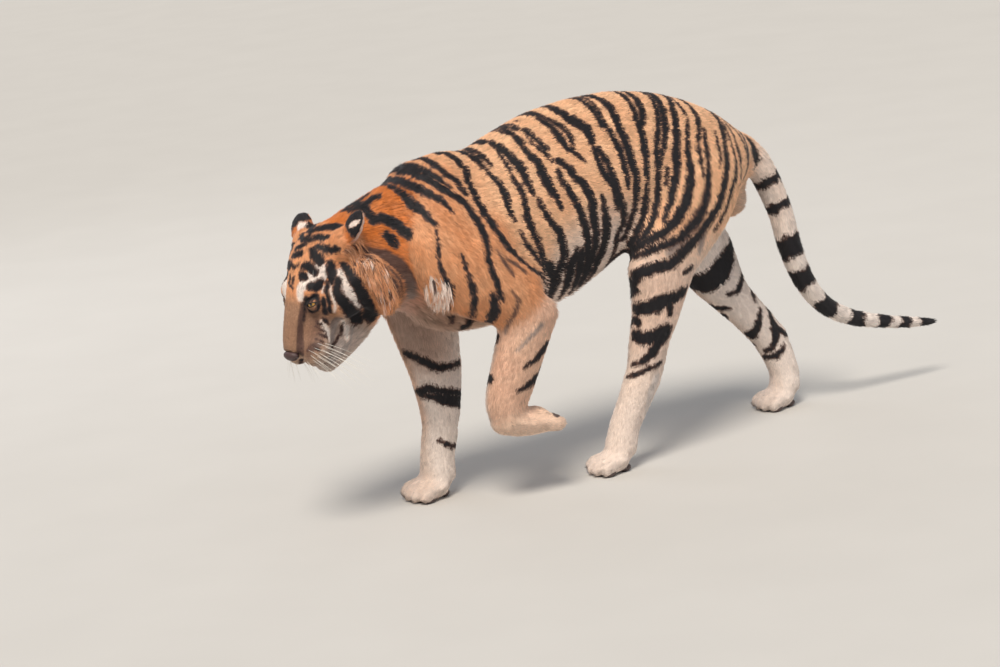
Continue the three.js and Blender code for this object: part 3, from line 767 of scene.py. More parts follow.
def closer(points, widths):
    """The points and the width along a mark, one every few millimetres."""
    points = np.array(points, float)
    length = lengths_along(points)[-1]
    places = np.linspace(0, length, max(int(length * CM / SPACING), 2) + 1)
    return places_on(points, places), np.interp(places, [0, length / 2, length], widths)


def carried_round(hits, widths, sign):
    """A mark that reaches the top of the back goes on over it, and one that reaches the belly on under it."""
    found = [hit for hit in hits if hit is not None]
    if not found or max(abs(found[0].x), abs(found[-1].x)) == 0:
        return hits, widths
    first, last = found[0], found[-1]
    before, after = [], []
    spine = skin_at((0, first.y, ABOVE), (0, 0, -1))
    if spine is not None and spine.z - first.z < OVER_THE_BACK and BACK_FROM < first.y < BACK_TO:
        before = [skin_at((x * sign, first.y, ABOVE), (0, 0, -1))
                  for x in np.arange(-0.4 * CM, abs(first.x), SPACING)]
    if UNDER_FROM < last.y < UNDER_TO and BELLY_LOW < last.z < BELLY_HIGH:
        for x in np.arange(abs(last.x), 0.35 * abs(last.x), -SPACING):
            hit = skin_at((x * sign, last.y, last.z - 0.3), (0, 0, 1))
            after.append(hit if hit is not None and abs(hit.z - last.z) < 0.12 else None)
    taper = np.linspace(widths[-1], 0.3 * widths[-1], len(after)) if after else []
    return before + list(hits) + after, np.concatenate([np.full(len(before), widths[0]), widths, taper])


class Marks:
    """Points along one kind of mark, lying on the skin, with half the mark's width at each."""

    def __init__(self, widening):
        self.widening = widening
        self.points = []
        self.halves = []

    def add(self, points, halves):
        """Adds a mark's points, with more between those that lie far apart."""
        previous = None
        for point, half in zip(points, halves):
            if point is not None:
                if previous is not None and SPACING * 1.5 < (point - previous).length < LONGEST_GAP:
                    steps = int((point - previous).length / SPACING)
                    between = [previous.lerp(point, step / steps) for step in range(1, steps)]
                    self.points += [skin_tree.find_nearest(place)[0] for place in between]
                    self.halves += [half] * len(between)
                self.points.append(point)
                self.halves.append(half)
            previous = point

    def from_side(self, marks, side, inner=False, limb=None):
        """Side-view marks laid on the skin: straight across from outside, or from between the legs."""
        sign = SIGNS[side]
        drawn_on = "right" if inner else "left"
        start, towards = (0, sign) if inner else (sign, -sign)
        for *width, line in marks:
            shift = np.zeros(2)
            if side != drawn_on:
                shift = random.normal(0, SIDE_SHIFT, 2) * [1, 0.5]
                if limb:
                    line = to_other_side(line, (LIMBS[limb][drawn_on], LIMBS[limb][side]))
            closely, widths = closer(np.array(line) + shift, width)
            if not limb:  # on the flank, marks swell towards the belly
                widths = widths * (1 + 0.5 * ramp(-closely[:, 1], -60, -53) * (closely[:, 0] > -33))
            hits = [skin_at((start, y, z), (towards, 0, 0)) for y, z in closely * CM]
            hits = [hit if hit is not None and hit.x * sign > -2 * CM else None for hit in hits]
            if not inner:
                hits, widths = carried_round(hits, widths, sign)
            self.add(hits, widths / 2 * CM)

    def on_head(self, marks, sides=(1, -1)):
        for *width, line in marks:
            closely, widths = closer(line, width)
            for sign in sides:
                shift = random.normal(0, HEAD_SHIFT, 3) if sign < 0 else np.zeros(3)
                hits = [skin_tree.find_nearest(on_head(*place))[0]
                        for place in (closely * [sign, 1, 1] + shift).tolist()]
                self.add(hits, widths / 2 * CM * head_scale / self.widening)

    def finish(self):
        self.tree = kdtree.KDTree(len(self.points))
        for index, point in enumerate(self.points):
            self.tree.insert(point, index)
        self.tree.balance()
        self.halves = np.array(self.halves) * self.widening

    def inside(self, points):
        """How far inside the nearest mark each point is, in metres; outside is below nought."""
        found = [self.tree.find(Vector(point)) for point in points]
        index = np.array([entry[1] for entry in found])
        gap = np.array([entry[2] for entry in found])
        return self.halves[index] - gap


black_marks = Marks(widening=1.45)
brown_marks = Marks(widening=1.3)
pale_marks = Marks(widening=1.15)
for side in SIGNS:
    black_marks.from_side(BODY_MARKS, side)
    black_marks.from_side(SHOULDER_MARKS + FORELEG_MARKS, side, limb="fore")
    black_marks.from_side(RUMP_MARKS + HINDLEG_MARKS, side, limb="hind")
    black_marks.from_side(FORELEG_INNER, side, inner=True, limb="fore")
    inner_marks = HINDLEG_INNER if side == "right" else HINDLEG_INNER[:3]
    black_marks.from_side(inner_marks, side, inner=True, limb="hind")
    brown_marks.from_side(FORELEG_BROWN, side, limb="fore")
    brown_marks.from_side(HINDLEG_BROWN_AND_SHADE, side, limb="hind")
    brown_marks.from_side(NECK_BROWN_AND_SHADOW, side)
    pale_marks.from_side(NECK_PALE, side)
black_marks.on_head(HEAD_MARKS)
black_marks.on_head(FOREHEAD_MARKS, sides=(1,))
brown_marks.on_head(HEAD_BROWN_AND_SHADE)
pale_marks.on_head(HEAD_PALE)
for sign, marks in EAR_SPOTS.items():
    pale_marks.on_head(marks, sides=(sign,))
for marks in (black_marks, brown_marks, pale_marks):
    marks.finish()

# ---- the ground colours --------

# where the belly's white begins on the flank, as [y, z] in centimetres
WHITE_LINE = [[-90, 60], [-75, 60], [-62, 55], [-52, 48], [-38, 43], [-32, 52], [-26, 62], [-15, 67],
              [-5, 66], [5, 59], [20, 52], [50, 52]]
# how white the legs are above a stretch, how much more below it, and the stretch's heights in centimetres
LEG_WHITE = {"thigh": (0, 0.58, 60, 44), "upper_arm": (0, 0, 60, 44), "forearm": (0.30, 0.35, 26, 6),
             "fore_paw": (0.30, 0.35, 26, 6), "shank": (0.50, 0.30, 42, 12), "hind_paw": (0.50, 0.30, 42, 12)}
# how orange the coat is, between sand at nought and full orange at one
WARM = 0.26
WARM_OF = {"neck": 0.95, "head": 0.66, "lower_jaw": 0.66, "ear": 0.95, "upper_arm": 0.62, "forearm": 0.55,
           "shank": 0.40}
PURSE_PATCH, PURSE_REACH = (0, 0.37, 0.575), 0.05
EAR_BASE = (9.0, -15.4, 3.5)
EAR_AXIS = (0.58, -0.79, 0.20)
EAR_BACK = (-0.12, 0.16, 0.98)
EAR_LINING = -0.3  # a hair on the ear that faces back less than this belongs to the ear's inside
BODY_MARKS_TO = 9  # how far down the tail the body's marks reach, in centimetres
NO_MARK = -9


def zones(points, normals, regions):
    """How white, how orange and how brown the coat's ground is, with painted shade on the chest, the lower face
    and the sides of the bridge; also the tail's underside, for its painted shade, and the ears' black.
    """
    y, z = points[:, 1] / CM, points[:, 2] / CM
    places = head_places(points)
    left, ahead, crown = places.T
    face = part_is(regions, *HEAD_PARTS)
    ears = part_is(regions, "ear")
    tail = part_is(regions, *TAIL_PARTS)
    legs = part_is(regions, *FORE_PARTS, *HIND_PARTS)
    muzzle = face * ramp(ahead, -0.5, 3) * ramp(crown, -5, -2)
    low_face = face * ramp(-crown, 1.5, 5) * ramp(ahead, -3, 1)
    chin = ramp(-crown, 4.5, 9) * ramp(ahead, -4, 3)
    purse = np.exp(-((points - PURSE_PATCH) ** 2).sum(1) / PURSE_REACH**2)
    inward = -points[:, 0] * normals[:, 0]
    # painted shade: the chest between the fore legs and the top of their inner sides is made less white and
    # more greyish brown
    chest_shade = ramp(-y, 42, 52) * ramp(-z, -58, -46) * ramp(z, 28, 36)
    chest_shade = chest_shade * part_is(regions, "trunk", "neck", "upper_arm", "forearm") * (~legs | (inward > -0.02))
    on_tail, _, _ = along_line(points / CM, TAIL)
    ear_out = ((places - to_own_side(places, EAR_BASE)) * to_own_side(places, EAR_AXIS)).sum(1)
    ear_back = ((normals @ HEAD_AXES.T) * to_own_side(places, EAR_BACK)).sum(1)

    # white: the belly, the legs and their inner sides, the tail, the chin and the ears' inside
    line = np.interp(y, *np.array(WHITE_LINE).T)
    pale = 0.70 * ramp(-z, -line - 5, -line + 9)
    for part, (above, added, high, low) in LEG_WHITE.items():
        pale = np.where(part_is(regions, part), above + added * ramp(-z, -high, -low), pale)
    pale = np.where(legs, np.maximum(pale, 0.9 * ramp(inward, 0.0, 0.05)), pale)
    thigh_front = part_is(regions, "thigh") & (normals[:, 1] < -0.2)
    pale = np.where(thigh_front, np.maximum(pale, 0.6 * ramp(-z, -60, -50)), pale)
    pale = np.where(tail, ramp(on_tail, 2, 9) * (0.75 + 0.2 * ramp(on_tail, 14, 40)), pale)
    # painted shade: the chin and the lower face are kept greyer than their own white
    pale = np.where(face, np.maximum(0.42 * chin, 0.28 * low_face), pale)
    pale = np.where(ears, 0.7 * (ear_back < EAR_LINING), pale)
    pale = np.maximum(pale * (1 - 0.6 * purse), 0.32 * purse) * (1 - 0.72 * chest_shade)

    # orange: more at the shoulder, less on the muzzle and the lower face
    warm = by_region(regions, WARM, WARM_OF)
    warm += 0.25 * (regions == FLESH.index("trunk")) * ramp(-y, 38, 55)
    warm -= 0.35 * muzzle
    warm -= 0.45 * low_face

    # greyish brown: the muzzle, partly its own tan and partly painted shade, most at the sides of the bridge;
    # painted shade on the lower face and the chest; and the purse
    bridge_tan_and_shade = 0.70 + 0.18 * ramp(np.abs(left), 2.4, 4.2)
    brown = np.max([bridge_tan_and_shade * muzzle, 0.60 * purse, 0.74 * low_face, 0.68 * chest_shade], 0)
    # the tail's forward-facing side, which colouring darkens with brown as painted shade
    under = np.where(tail & (normals[:, 1] < -0.45), 1.0, 0.0)
    ear_black = np.where(ears & (ear_back > EAR_LINING), np.minimum(ear_out - 1.4, 6), NO_MARK)
    values = np.stack([pale, np.clip(warm, 0, 1), brown, under], 1)
    return np.hstack([skin_net.even(values, 6), ear_black[:, None]])


def colouring(points, regions, ground):
    """How black (depth inside a mark, cm), brown (painted shade included), pale and orange the coat is at each
    point.
    """
    pale, warm, shaded, under, ear_black = ground.T
    black = black_marks.inside(points) / CM
    black -= 0.16 * ramp(points[:, 1] / CM, 6, 20) * ramp(points[:, 2] / CM, 46, 56)  # thinner on the haunch
    brown = np.maximum(shaded, ramp(brown_marks.inside(points), -5 * MM, 5 * MM))
    marked = ramp(pale_marks.inside(points), -4 * MM, 4 * MM)
    tail = part_is(regions, *TAIL_PARTS)
    distance, _, _ = along_line(points[tail] / CM, TAIL)
    x, y, z = (points[tail] / CM).T
    distance += 0.5 * np.sin(1.3 * x + 0.9 * z) + 0.3 * np.sin(2.1 * y - 1.7 * x)  # no ring is quite even
    rings = np.max([(end - start) / 2 - np.abs(distance - (start + end) / 2) for start, end in TAIL_RINGS], 0)
    # painted shade: brown on the tail's forward-facing side between the first and the second ring
    tail_underside_shade = 0.85 * under[tail] * ramp(distance, 5, 10) * ramp(-distance, -26, -18)
    brown[tail] = np.maximum(brown[tail], tail_underside_shade)
    black[tail] = np.where(distance < BODY_MARKS_TO, np.maximum(black[tail], rings), rings)
    black = np.maximum(black, ear_black)
    black = np.where(part_is(regions, "ear") & (marked > 0.5), -1, black)
    return np.stack([black, brown * (1 - marked), np.maximum(pale, 0.92 * marked), warm], 1)


# ---- the lie and length of the coat --------

# the ruff's roots, behind the cheek, in the head's centimetres
RUFF = [[10.4, -13.4, 1.0], [11.7, -11.8, -2.2], [12.3, -9.8, -5.4], [11.5, -8.0, -8.6]]
RUFF_WIDTH = 2.3
RUFF_LIE = (0.15, 0.5, -0.85)  # in the head's directions, on the left
# which way the hair points on the body, as (x, y, z)
LIE = (0.0, 1.0, -0.22)
LIE_OF = {"neck": (0, 1, -0.45), "upper_arm": (0, 0.5, -1), "thigh": (0, 0.35, -1)}
# hair that is longer than its surroundings: [middle, sizes and added length in metres, added lift in degrees]
LONG_HAIR = [
    [on_head(0, -2, -15), (0.08, 0.08, 0.06), 0.022, 12],
    [Vector((0.14, -0.60, 0.54)), (0.06, 0.05, 0.06), 0.016, 10],
    [Vector((-0.14, -0.60, 0.54)), (0.06, 0.05, 0.06), 0.016, 10],
    [Vector((0, -0.60, 0.50)), (0.12, 0.08, 0.07), 0.016, 10],
    [Vector((0, -0.10, 0.44)), (0.10, 0.42, 0.05), 0.018, 12],
    [Vector((0.15, -0.27, 0.50)), (0.04, 0.05, 0.05), 0.016, 14],
    [Vector((-0.15, -0.30, 0.48)), (0.04, 0.05, 0.05), 0.016, 14],
]
LIFT = 11.0  # degrees off the skin
RUFF_LONGER, RUFF_LIFT = 0.012, 13
# the hair is shortest round the eyes and the nose, each as [middle, radius, margin], and longer further off
BARE = [[centre, EYE_RADIUS, 2 * MM] for centre in EYES.values()] + [[middle("nose"), 24 * MM, 0]]
SHORTEST, LONGER_BY = 0.0035, 0.10  # in metres, and for each metre further off
TUFT_WIDTH, WIDTH_BY_LENGTH = 0.7 * MM, 0.070  # at its root


def on_leg(side, parts):
    return part_is(skin_regions, *parts) & (np.sign(skin_points[:, 0]) == SIGNS[side])


def headings():
    """Which way the hair points at each place on the skin, along the surface."""
    lie = np.tile(LIE, (len(skin_points), 1))
    for part, way in LIE_OF.items():
        lie[part_is(skin_regions, part)] = way
    for limb, parts in (("fore", FORE_PARTS[1:]), ("hind", HIND_PARTS[1:])):
        for side in SIGNS:
            here = on_leg(side, parts)
            lie[here, 0] = 0
            lie[here, 1:] = along_line(skin_points[here][:, 1:] / CM, LIMBS[limb][side])[2]
    on_tail = part_is(skin_regions, *TAIL_PARTS)
    lie[on_tail] = along_line(skin_points[on_tail] / CM, TAIL)[2]
    on_face = part_is(skin_regions, *HEAD_PARTS)
    out = np.abs(head_skin[:, 0])
    back = np.stack([0.35 * np.sign(head_skin[:, 0]) * ramp(out, 2, 9), np.full(len(out), -1.0),
                     -0.9 * ramp(out, 5, 11)], 1)
    for here, way in ((on_face, back), (skin_ruff > 0.15, to_own_side(head_skin, RUFF_LIE)),
                      (part_is(skin_regions, "ear"), to_own_side(head_skin, EAR_AXIS))):
        lie[here] = (way @ HEAD_AXES)[here]
    lie = unit(lie)
    for _ in range(12):
        lie = skin_net.even(lie, 1)
        lie -= (lie * skin_normals).sum(1)[:, None] * skin_normals
        lie = unit(lie)
    return lie


def lengths():
    """How long the hair is at each place on the skin, in metres, and how far it stands off, in degrees."""
    length = by_region(skin_regions, HAIR, HAIR_OF | {"head": 0.010})
    to_front = ramp(head_skin[:, 1], -6, 6)
    length = np.where(part_is(skin_regions, *HEAD_PARTS), length * (1.15 - 0.62 * to_front), length)
    length = skin_net.even(length, 10)
    lift = np.full(len(length), LIFT)
    for centre, sizes, added, raised in LONG_HAIR:
        amount = nearness(skin_points, centre, sizes)
        length += added * amount
        lift += raised * amount
    length += RUFF_LONGER * skin_ruff
    lift += RUFF_LIFT * skin_ruff
    for centre, radius, margin in BARE:
        gap = np.linalg.norm(skin_points - np.array(centre), axis=1) - radius - margin
        length = np.minimum(length, SHORTEST + LONGER_BY * np.maximum(gap, 0))
    return length, lift


head_skin = head_places(skin_points)
_, from_ruff, _ = along_line(mirrored(head_skin), RUFF)
skin_ruff = np.exp(-((from_ruff / RUFF_WIDTH) ** 2))
skin_lie = headings()
skin_length, skin_lift = lengths()
skin_width = TUFT_WIDTH + WIDTH_BY_LENGTH * skin_length

COLOUR_NAMES = ("black", "brown", "pale", "warm")
ground = zones(skin_points, skin_normals, skin_regions)
skin_colours = colouring(skin_points + 0.5 * skin_length[:, None] * skin_lie, skin_regions, ground)
for name, values in zip(COLOUR_NAMES, skin_colours.T):
    add_numbers(skin.data, name, values)
lie_attribute = skin.data.attributes.new("lie", "FLOAT_VECTOR", "POINT")
lie_attribute.data.foreach_set("vector", skin_lie.astype(np.float32).ravel())

# ---- foot pads --------

# each foot, in centimetres: [the knuckles' middle, the toes' tips, which way is up on it, the toes' spacing]
PAWS = {
    "fore_left": [(11.96, -36.15, 18.2), (11.56, -29.55, 16.0), (0, -0.28, -0.96), 2.8],
    "fore_right": [(-9.84, -54.35, 3.5), (-9.44, -61.95, 2.2), (0, 0, 1), 2.8],
    "hind_left": [(8.76, -13.55, 3.4), (8.36, -20.55, 2.1), (0, 0, 1), 2.5],
    "hind_right": [(-9.44, 49.05, 3.4), (-9.44, 42.05, 2.1), (0, 0, 1), 2.5],
}
TOE_PAD = (10.5, 14.0, 8.5)  # half sizes in millimetres: across, along, through
PALM_PAD = (27.0, 15.0, 9.0)
PALM_LOBE = (13.0, 14.0, 8.5)
UNDER_FLOOR = 0.6  # how far a planted pad is pressed below the floor, in millimetres


def paw_axes(paw):
    knuckles, tips, upper, _ = paw
    forward = (Vector(tips) - Vector(knuckles)).normalized()
    across = forward.cross(Vector(upper)).normalized()
    return across, forward, Vector(upper).normalized()


def paw_pads(paw):
    """The middle and the half sizes of each of a foot's pads."""
    knuckles, tips, upper, spacing = paw
    across, forward, upwards = paw_axes(paw)
    reach = (Vector(tips) - Vector(knuckles)).length
    pads = [(n * spacing, reach * 0.6 - 0.9 * abs(n) + 0.2, TOE_PAD) for n in (-1.5, -0.5, 0.5, 1.5)]
    pads += [(0, -1.2, PALM_PAD), (-1.7, -2.2, PALM_LOBE), (1.7, -2.2, PALM_LOBE)]
    found = []
    for x, y, sizes in pads:
        place = (Vector(knuckles) + x * across + y * forward - 1.8 * upwards) * CM
        if upper[2] > 0:  # a planted foot
            place.z = (sizes[2] - UNDER_FLOOR) * MM
        found.append((place, sizes))
    return found


# ---- the coat --------

PATCH = 0.003  # across, on the map that the coat's colours are kept in
CLUMPING = 0.4  # how far tufts lean to the middle of their clump
TUFTS_IN_CLUMP, LOCKS_IN_CLUMP = 14, 6
SEEN = (0.45, 0.95)  # the outer half of a tuft shows: its colours are read at both ends of that
ROOT_DEPTH = 0.8 * MM
# a tuft's four points: its faces, how far along it they are, and where they lie on its patch of the map
TUFT_FACES = [[0, 1, 2], [0, 3, 1], [1, 3, 2], [2, 3, 0]]
TUFT_ALONG = [0, 0, 0.1, 1]
TUFT_MAP = [[-0.5, -0.5], [0.5, -0.5], [0, -0.4], [0, 0.5]]
LOCK_STEPS = 6
LOCK_ROUND = [(-1, 0), (1, 0), (0, 0.8)]
LOCK_HANG = (0, -0.10, -1)
LOCK_APART = 0.03  # locks further apart than this don't lean together

skin.data.calc_loop_triangles()
corners = rows_of(skin.data.loop_triangles, "vertices", 3, np.int32)
first, second, third = (skin_points[corners[:, index]] for index in range(3))
triangle_area = np.linalg.norm(np.cross(second - first, third - first), axis=1) / 2
triangle_region = skin_regions[corners[:, 0]]
triangle_left = head_places(first)[:, 0]
triangle_ruff = skin_ruff[corners].mean(1)


def unwrapped(points, axis, turn):
    """The skin unrolled round a middle line: how far along it, and how far round it, each from 0 to 1."""
    axis, turn = np.array(axis, float), np.array(turn, float)
    place, _, heading = along_line(points, axis)
    out = points - places_on(axis, place)
    zero = turn - heading * (heading @ turn)[:, None]
    across = np.cross(heading, zero)
    flat = np.stack([place, np.arctan2((out * across).sum(1), (out * zero).sum(1))], 1)
    flat -= flat.min(0)
    return 0.01 + 0.98 * flat / flat.max(0).clip(1e-6)  # clear of the map's edges


def bare_places(points):
    """True where a tuft would stand in front of an eyeball or grow out of a foot pad."""
    covered = np.zeros(len(points), bool)
    for side, centre in EYES.items():
        offset = points - np.array(centre)
        near = np.linalg.norm(offset, axis=1) < EYE_RADIUS + 6 * MM
        covered |= near & in_opening(side, unit(offset), 0.92, math.radians(7))
    for paw in PAWS.values():
        for centre, sizes in paw_pads(paw):
            offset = (points - np.array(centre)) @ np.array(paw_axes(paw)).T / (np.array(sizes) * MM)
            covered |= (offset**2).sum(1) < 1
    return covered


def scattered(weights, count):
    """The triangle of the skin under each of so many roots, spread evenly by the triangles' weights."""
    ladder = np.cumsum(weights)
    pick = np.searchsorted(ladder, (np.arange(count) + random.random(count)) / count * ladder[-1])
    return corners[np.minimum(pick, len(corners) - 1)]


def clumped(roots, size):
    """For each tuft, the tuft whose tip it leans to, and its clump's own lightness."""
    leaders = random.choice(len(roots), len(roots) // size, replace=False)
    tree = kdtree.KDTree(len(leaders))
    for leader in leaders:
        tree.insert(Vector(roots[leader]), int(leader))
    tree.balance()
    own = np.array([tree.find(Vector(root))[1] for root in roots])
    return own, random.normal(0, 1, len(roots))[own]


def coat_piece(name, hairs, faces_of_one, numbers, flat, patch):
    """A piece of the coat from each hair's points, the faces of one hair, the numbers that its colours are
    made of, and its root's place on the colours' map, with the small patch round it that the hair has."""
    count, per_hair = hairs.shape[:2]
    faces = (np.array(faces_of_one)[None] + per_hair * np.arange(count)[:, None, None]).reshape(-1, 3)
    mesh = bpy.data.meshes.new(name)
    mesh.vertices.add(count * per_hair)
    mesh.vertices.foreach_set("co", hairs.ravel())
    mesh.loops.add(faces.size)
    mesh.loops.foreach_set("vertex_index", faces.ravel().astype(np.int32))
    mesh.polygons.add(len(faces))
    mesh.polygons.foreach_set("loop_start", np.arange(0, faces.size, 3, dtype=np.int32))
    mesh.update(calc_edges=True)
    for key, values in numbers.items():
        add_numbers(mesh, key, np.broadcast_to(values, (count, per_hair)).ravel())
    on_map = (flat[:, None] + np.array(patch)[None] * PATCH).reshape(-1, 2)
    layer = mesh.uv_layers.new(name="OFBake")
    layer.uv.foreach_set("vector", on_map[faces.ravel()].ravel().astype(np.float32))
    mesh.polygons.foreach_set("use_smooth", np.ones(len(faces), bool))
    return on_body(add_piece(name, mesh), "coat")


def coat(name, chosen, count, axis, turn):
    """One piece of the coat: thin closed blades rooted all over the chosen triangles of the skin."""
    size = (skin_width * skin_length)[corners].mean(1)
    rooted = scattered(np.where(chosen, triangle_area / size, 0), count)
    spread = np.sqrt(random.random(count))
    other = random.random(count)
    share = np.stack([1 - spread, spread * (1 - other), spread * other], 1)

    def at_root(values):
        found = values[rooted]
        return (found * share.reshape(count, 3, *[1] * (found.ndim - 2))).sum(1)

    root = at_root(skin_points)
    normal = unit(at_root(skin_normals))
    length = at_root(skin_length) * random.uniform(0.75, 1.2, count)
    width = at_root(skin_width) * random.uniform(0.75, 1.25, count)
    lift = np.radians(at_root(skin_lift) + random.uniform(-6, 7, count))
    side = unit(np.cross(at_root(skin_lie), normal))
    lie = np.cross(normal, side)
    swing = np.radians(random.normal(0, 9, count))[:, None]
    lie, side = np.cos(swing) * lie + np.sin(swing) * side, np.cos(swing) * side - np.sin(swing) * lie
    keep = ~bare_places(root)
    root, normal, lie, side, length, width, lift, region, here, strand = (values[keep] for values in (
        root, normal, lie, side, length[:, None], width[:, None], lift[:, None], skin_regions[rooted[:, 0]],
        at_root(ground), at_root(skin_ruff)))

    clump, tone = clumped(root, TUFTS_IN_CLUMP)
    near, far = (colouring(root + seen * length * lie, region, here) for seen in SEEN)
    for shown in (near, far):  # the ruff is white and brown strand by strand
        shown[:, 0] -= 3 * strand * (tone > -0.9)
        shown[:, 1] = np.maximum(shown[:, 1], strand * np.clip(-1.6 * tone - 0.6, 0, 1))
        shown[:, 2] = np.maximum(shown[:, 2], strand * np.clip(0.7 * tone - 0.8, 0, 0.5))
    ragged = random.normal(0, 0.05, len(root))[:, None] * [1, 0, 0, 0]
    at_base = near - 0.8 * (far - near) + ragged
    at_tip = far + 0.1 * (far - near) + ragged
    numbers = dict(zip(COLOUR_NAMES, np.moveaxis(np.stack([at_base, at_base, at_base, at_tip], 1), 2, 0)))
    numbers["along"] = TUFT_ALONG
    numbers["shade"] = (0.7 * tone + 0.6 * random.normal(0, 1, len(root)))[:, None]

    tip = root + length * (np.cos(lift) * lie + np.sin(lift) * normal)
    together = tip[clump] - tip
    together -= (together * normal).sum(1)[:, None] * normal
    furthest = 0.35 * length / np.linalg.norm(together, axis=1)[:, None].clip(1e-5)
    tip += np.minimum(CLUMPING + 0.35 * strand[:, None], furthest) * together
    root = root - ROOT_DEPTH * normal
    half = width / 2 * side
    ridge = root + (0.35 * width + 0.4 * MM) * normal
    piece = coat_piece(name, np.stack([root - half, root + half, ridge, tip], 1), TUFT_FACES, numbers,
                       unwrapped(root, axis, turn), TUFT_MAP)
    rounded = np.stack([normal - 0.45 * side, normal + 0.45 * side, normal, normal + 0.1 * lie], 1)
    piece.data.normals_split_custom_set_from_vertices(unit(rounded.reshape(-1, 3)))
    return piece


def lock_faces():
    """The faces of one lock: three-sided, closed at both ends."""
    faces = [[0, 2, 1]]
    for low in range(0, 3 * LOCK_STEPS, 3):
        for one, next_one in ((0, 1), (1, 2), (2, 0)):
            faces.append([low + one, low + next_one, low + 3 + next_one])
            faces.append([low + one, low + 3 + next_one, low + 3 + one])
    top = 3 * LOCK_STEPS
    return faces + [[top, top + 1, top + 2]]


def locks(name, weight, count, length, axis, turn, paler=0.0):
    """Long hair that hangs: each lock is a thin closed strand that leaves the skin and bends downwards."""
    rooted = scattered(triangle_area * weight, count)
    root = skin_points[rooted].mean(1) + random.normal(0, 1.2 * MM, (count, 3))
    normal = unit(skin_normals[rooted].mean(1))
    clump, tone = clumped(root, LOCKS_IN_CLUMP)
    reach = (length * random.uniform(0.6, 1.15, count))[:, None, None]
    start = unit(skin_lie[rooted].mean(1) + 0.40 * normal + random.normal(0, 0.10, (count, 3)))
    end = unit(np.array(LOCK_HANG) + 0.22 * normal + random.normal(0, 0.14, (count, 3)))
    share = np.linspace(0, 1, LOCK_STEPS + 1)[None, :, None]
    line = root[:, None] + reach * (start[:, None] * (share - 0.5 * share**2) + end[:, None] * 0.5 * share**2)
    together = line[clump] - line
    beside = np.linalg.norm(together, axis=2, keepdims=True) < LOCK_APART
    line = line + 0.40 * share * np.where(beside, together, 0)
    side = unit(np.cross(end, normal))
    outer = np.cross(side, end)
    width = random.uniform(0.7, 1.3, count)[:, None, None] * MM * (1 - 0.9 * share**1.6)
    rings = np.stack([line + width * (x * side[:, None] + y * outer[:, None]) for x, y in LOCK_ROUND], 2)
    numbers = {
        "black": NO_MARK,
        "brown": np.clip(-1.3 * tone - 0.5 - 2 * paler, 0, 1)[:, None],
        "pale": np.clip(0.7 * tone - 0.7 + 1.5 * paler, 0, 0.85)[:, None],
        "warm": 0.55,
        "shade": (0.6 * tone + 0.5 * random.normal(0, 1, count))[:, None],
        "along": np.repeat(share.ravel(), 3),
    }
    patch = [[x * 0.5, step / LOCK_STEPS - 0.5] for step in range(LOCK_STEPS + 1) for x in (-1, 1, 0)]
    flat = unwrapped(root, axis, turn)
    return coat_piece(name, rings.reshape(count, -1, 3), lock_faces(), numbers, flat, patch)


def limb_axis(limb, side, parts):
    """The leg's middle line in metres, at the leg's own distance from the body's middle."""
    sideways = np.median(skin_points[on_leg(side, parts), 0])
    return [[sideways, y * CM, z * CM] for y, z in LIMBS[limb][side]]


MIDRIFF = -0.12  # where the coat of the trunk is parted in two
HEAD_AXIS = [on_head(0, -18, -2), on_head(0, 13, -4)]
EAR_TO_EAR = [on_head(-15, -18, 3), on_head(15, -18, 3)]
NECK_AXIS = [[0, -0.48, 0.65], [0.01, -0.82, 0.63]]
CHEST_AXIS = [[0, -0.6, 0.64], [0, MIDRIFF, 0.68]]
RUMP_AXIS = [[0, MIDRIFF, 0.68], [0, 0.36, 0.68]]
UP = (0, 0, 1)
THROAT = (0.155, -0.600, 0.552)  # on the left
THROAT_SPREAD = (0.002, 0.0005, 0.0008)  # square metres


def half_coat(side, sign):
    """The coat of one side's face, trunk and legs."""
    here = first[:, 0] * sign > 0
    trunk = part_is(triangle_region, "trunk") & here
    front = first[:, 1] < MIDRIFF
    face = part_is(triangle_region, *HEAD_PARTS) & (triangle_left * sign > 0)
    pieces = [coat(f"coat_face_{side}", face, 35000, HEAD_AXIS, head_left * sign),
              coat(f"coat_chest_{side}", trunk & front, 31000, CHEST_AXIS, (sign, 0, 0)),
              coat(f"coat_rump_{side}", trunk & ~front, 30000, RUMP_AXIS, (sign, 0, 0))]
    for limb, parts, count in (("fore", FORE_PARTS, 26000), ("hind", HIND_PARTS, 27000)):
        leg = part_is(triangle_region, *parts) & here
        pieces.append(coat(f"coat_{limb}_{side}", leg, count, limb_axis(limb, side, parts), (sign, 0, 0)))
    return pieces


def hanging_hair(side, sign):
    """The ruff behind the cheek and the long hair beside the throat."""
    ruff = np.where((triangle_ruff > 0.25) & (triangle_left * sign > 0), triangle_ruff, 0)
    x, y, z = THROAT
    throat = np.exp(-((first - [x * sign, y, z]) ** 2 / THROAT_SPREAD).sum(1))
    throat = np.where(throat > 0.2, throat, 0)
    return [locks(f"coat_ruff_{side}", ruff, 1300, 0.044, HEAD_AXIS, head_left * sign),
            locks(f"coat_throat_{side}", throat, 700, 0.036, NECK_AXIS, UP, paler=1.0)]


coat_pieces = [
    coat("coat_ears", part_is(triangle_region, "ear"), 6000, EAR_TO_EAR, head_ahead),
    coat("coat_neck", part_is(triangle_region, "neck"), 15000, NECK_AXIS, UP),
    coat("coat_tail", part_is(triangle_region, *TAIL_PARTS), 14000, np.array(TAIL) * CM, (1, 0, 0)),
]
for side, sign in SIGNS.items():
    coat_pieces += half_coat(side, sign)
for side, sign in SIGNS.items():
    coat_pieces += hanging_hair(side, sign)

# ---- eyes, lid rims, nose leather, whiskers and pads --------


def finished(piece, name, slot, *replaced):
    piece.name = name
    select_only(piece)
    bpy.ops.object.shade_smooth()
    return on_body(piece, slot, *replaced)


IRIS = 0.64  # the edge of the iris, as an angle in radians from the middle of the pupil
CORNEA = 1.2 * MM


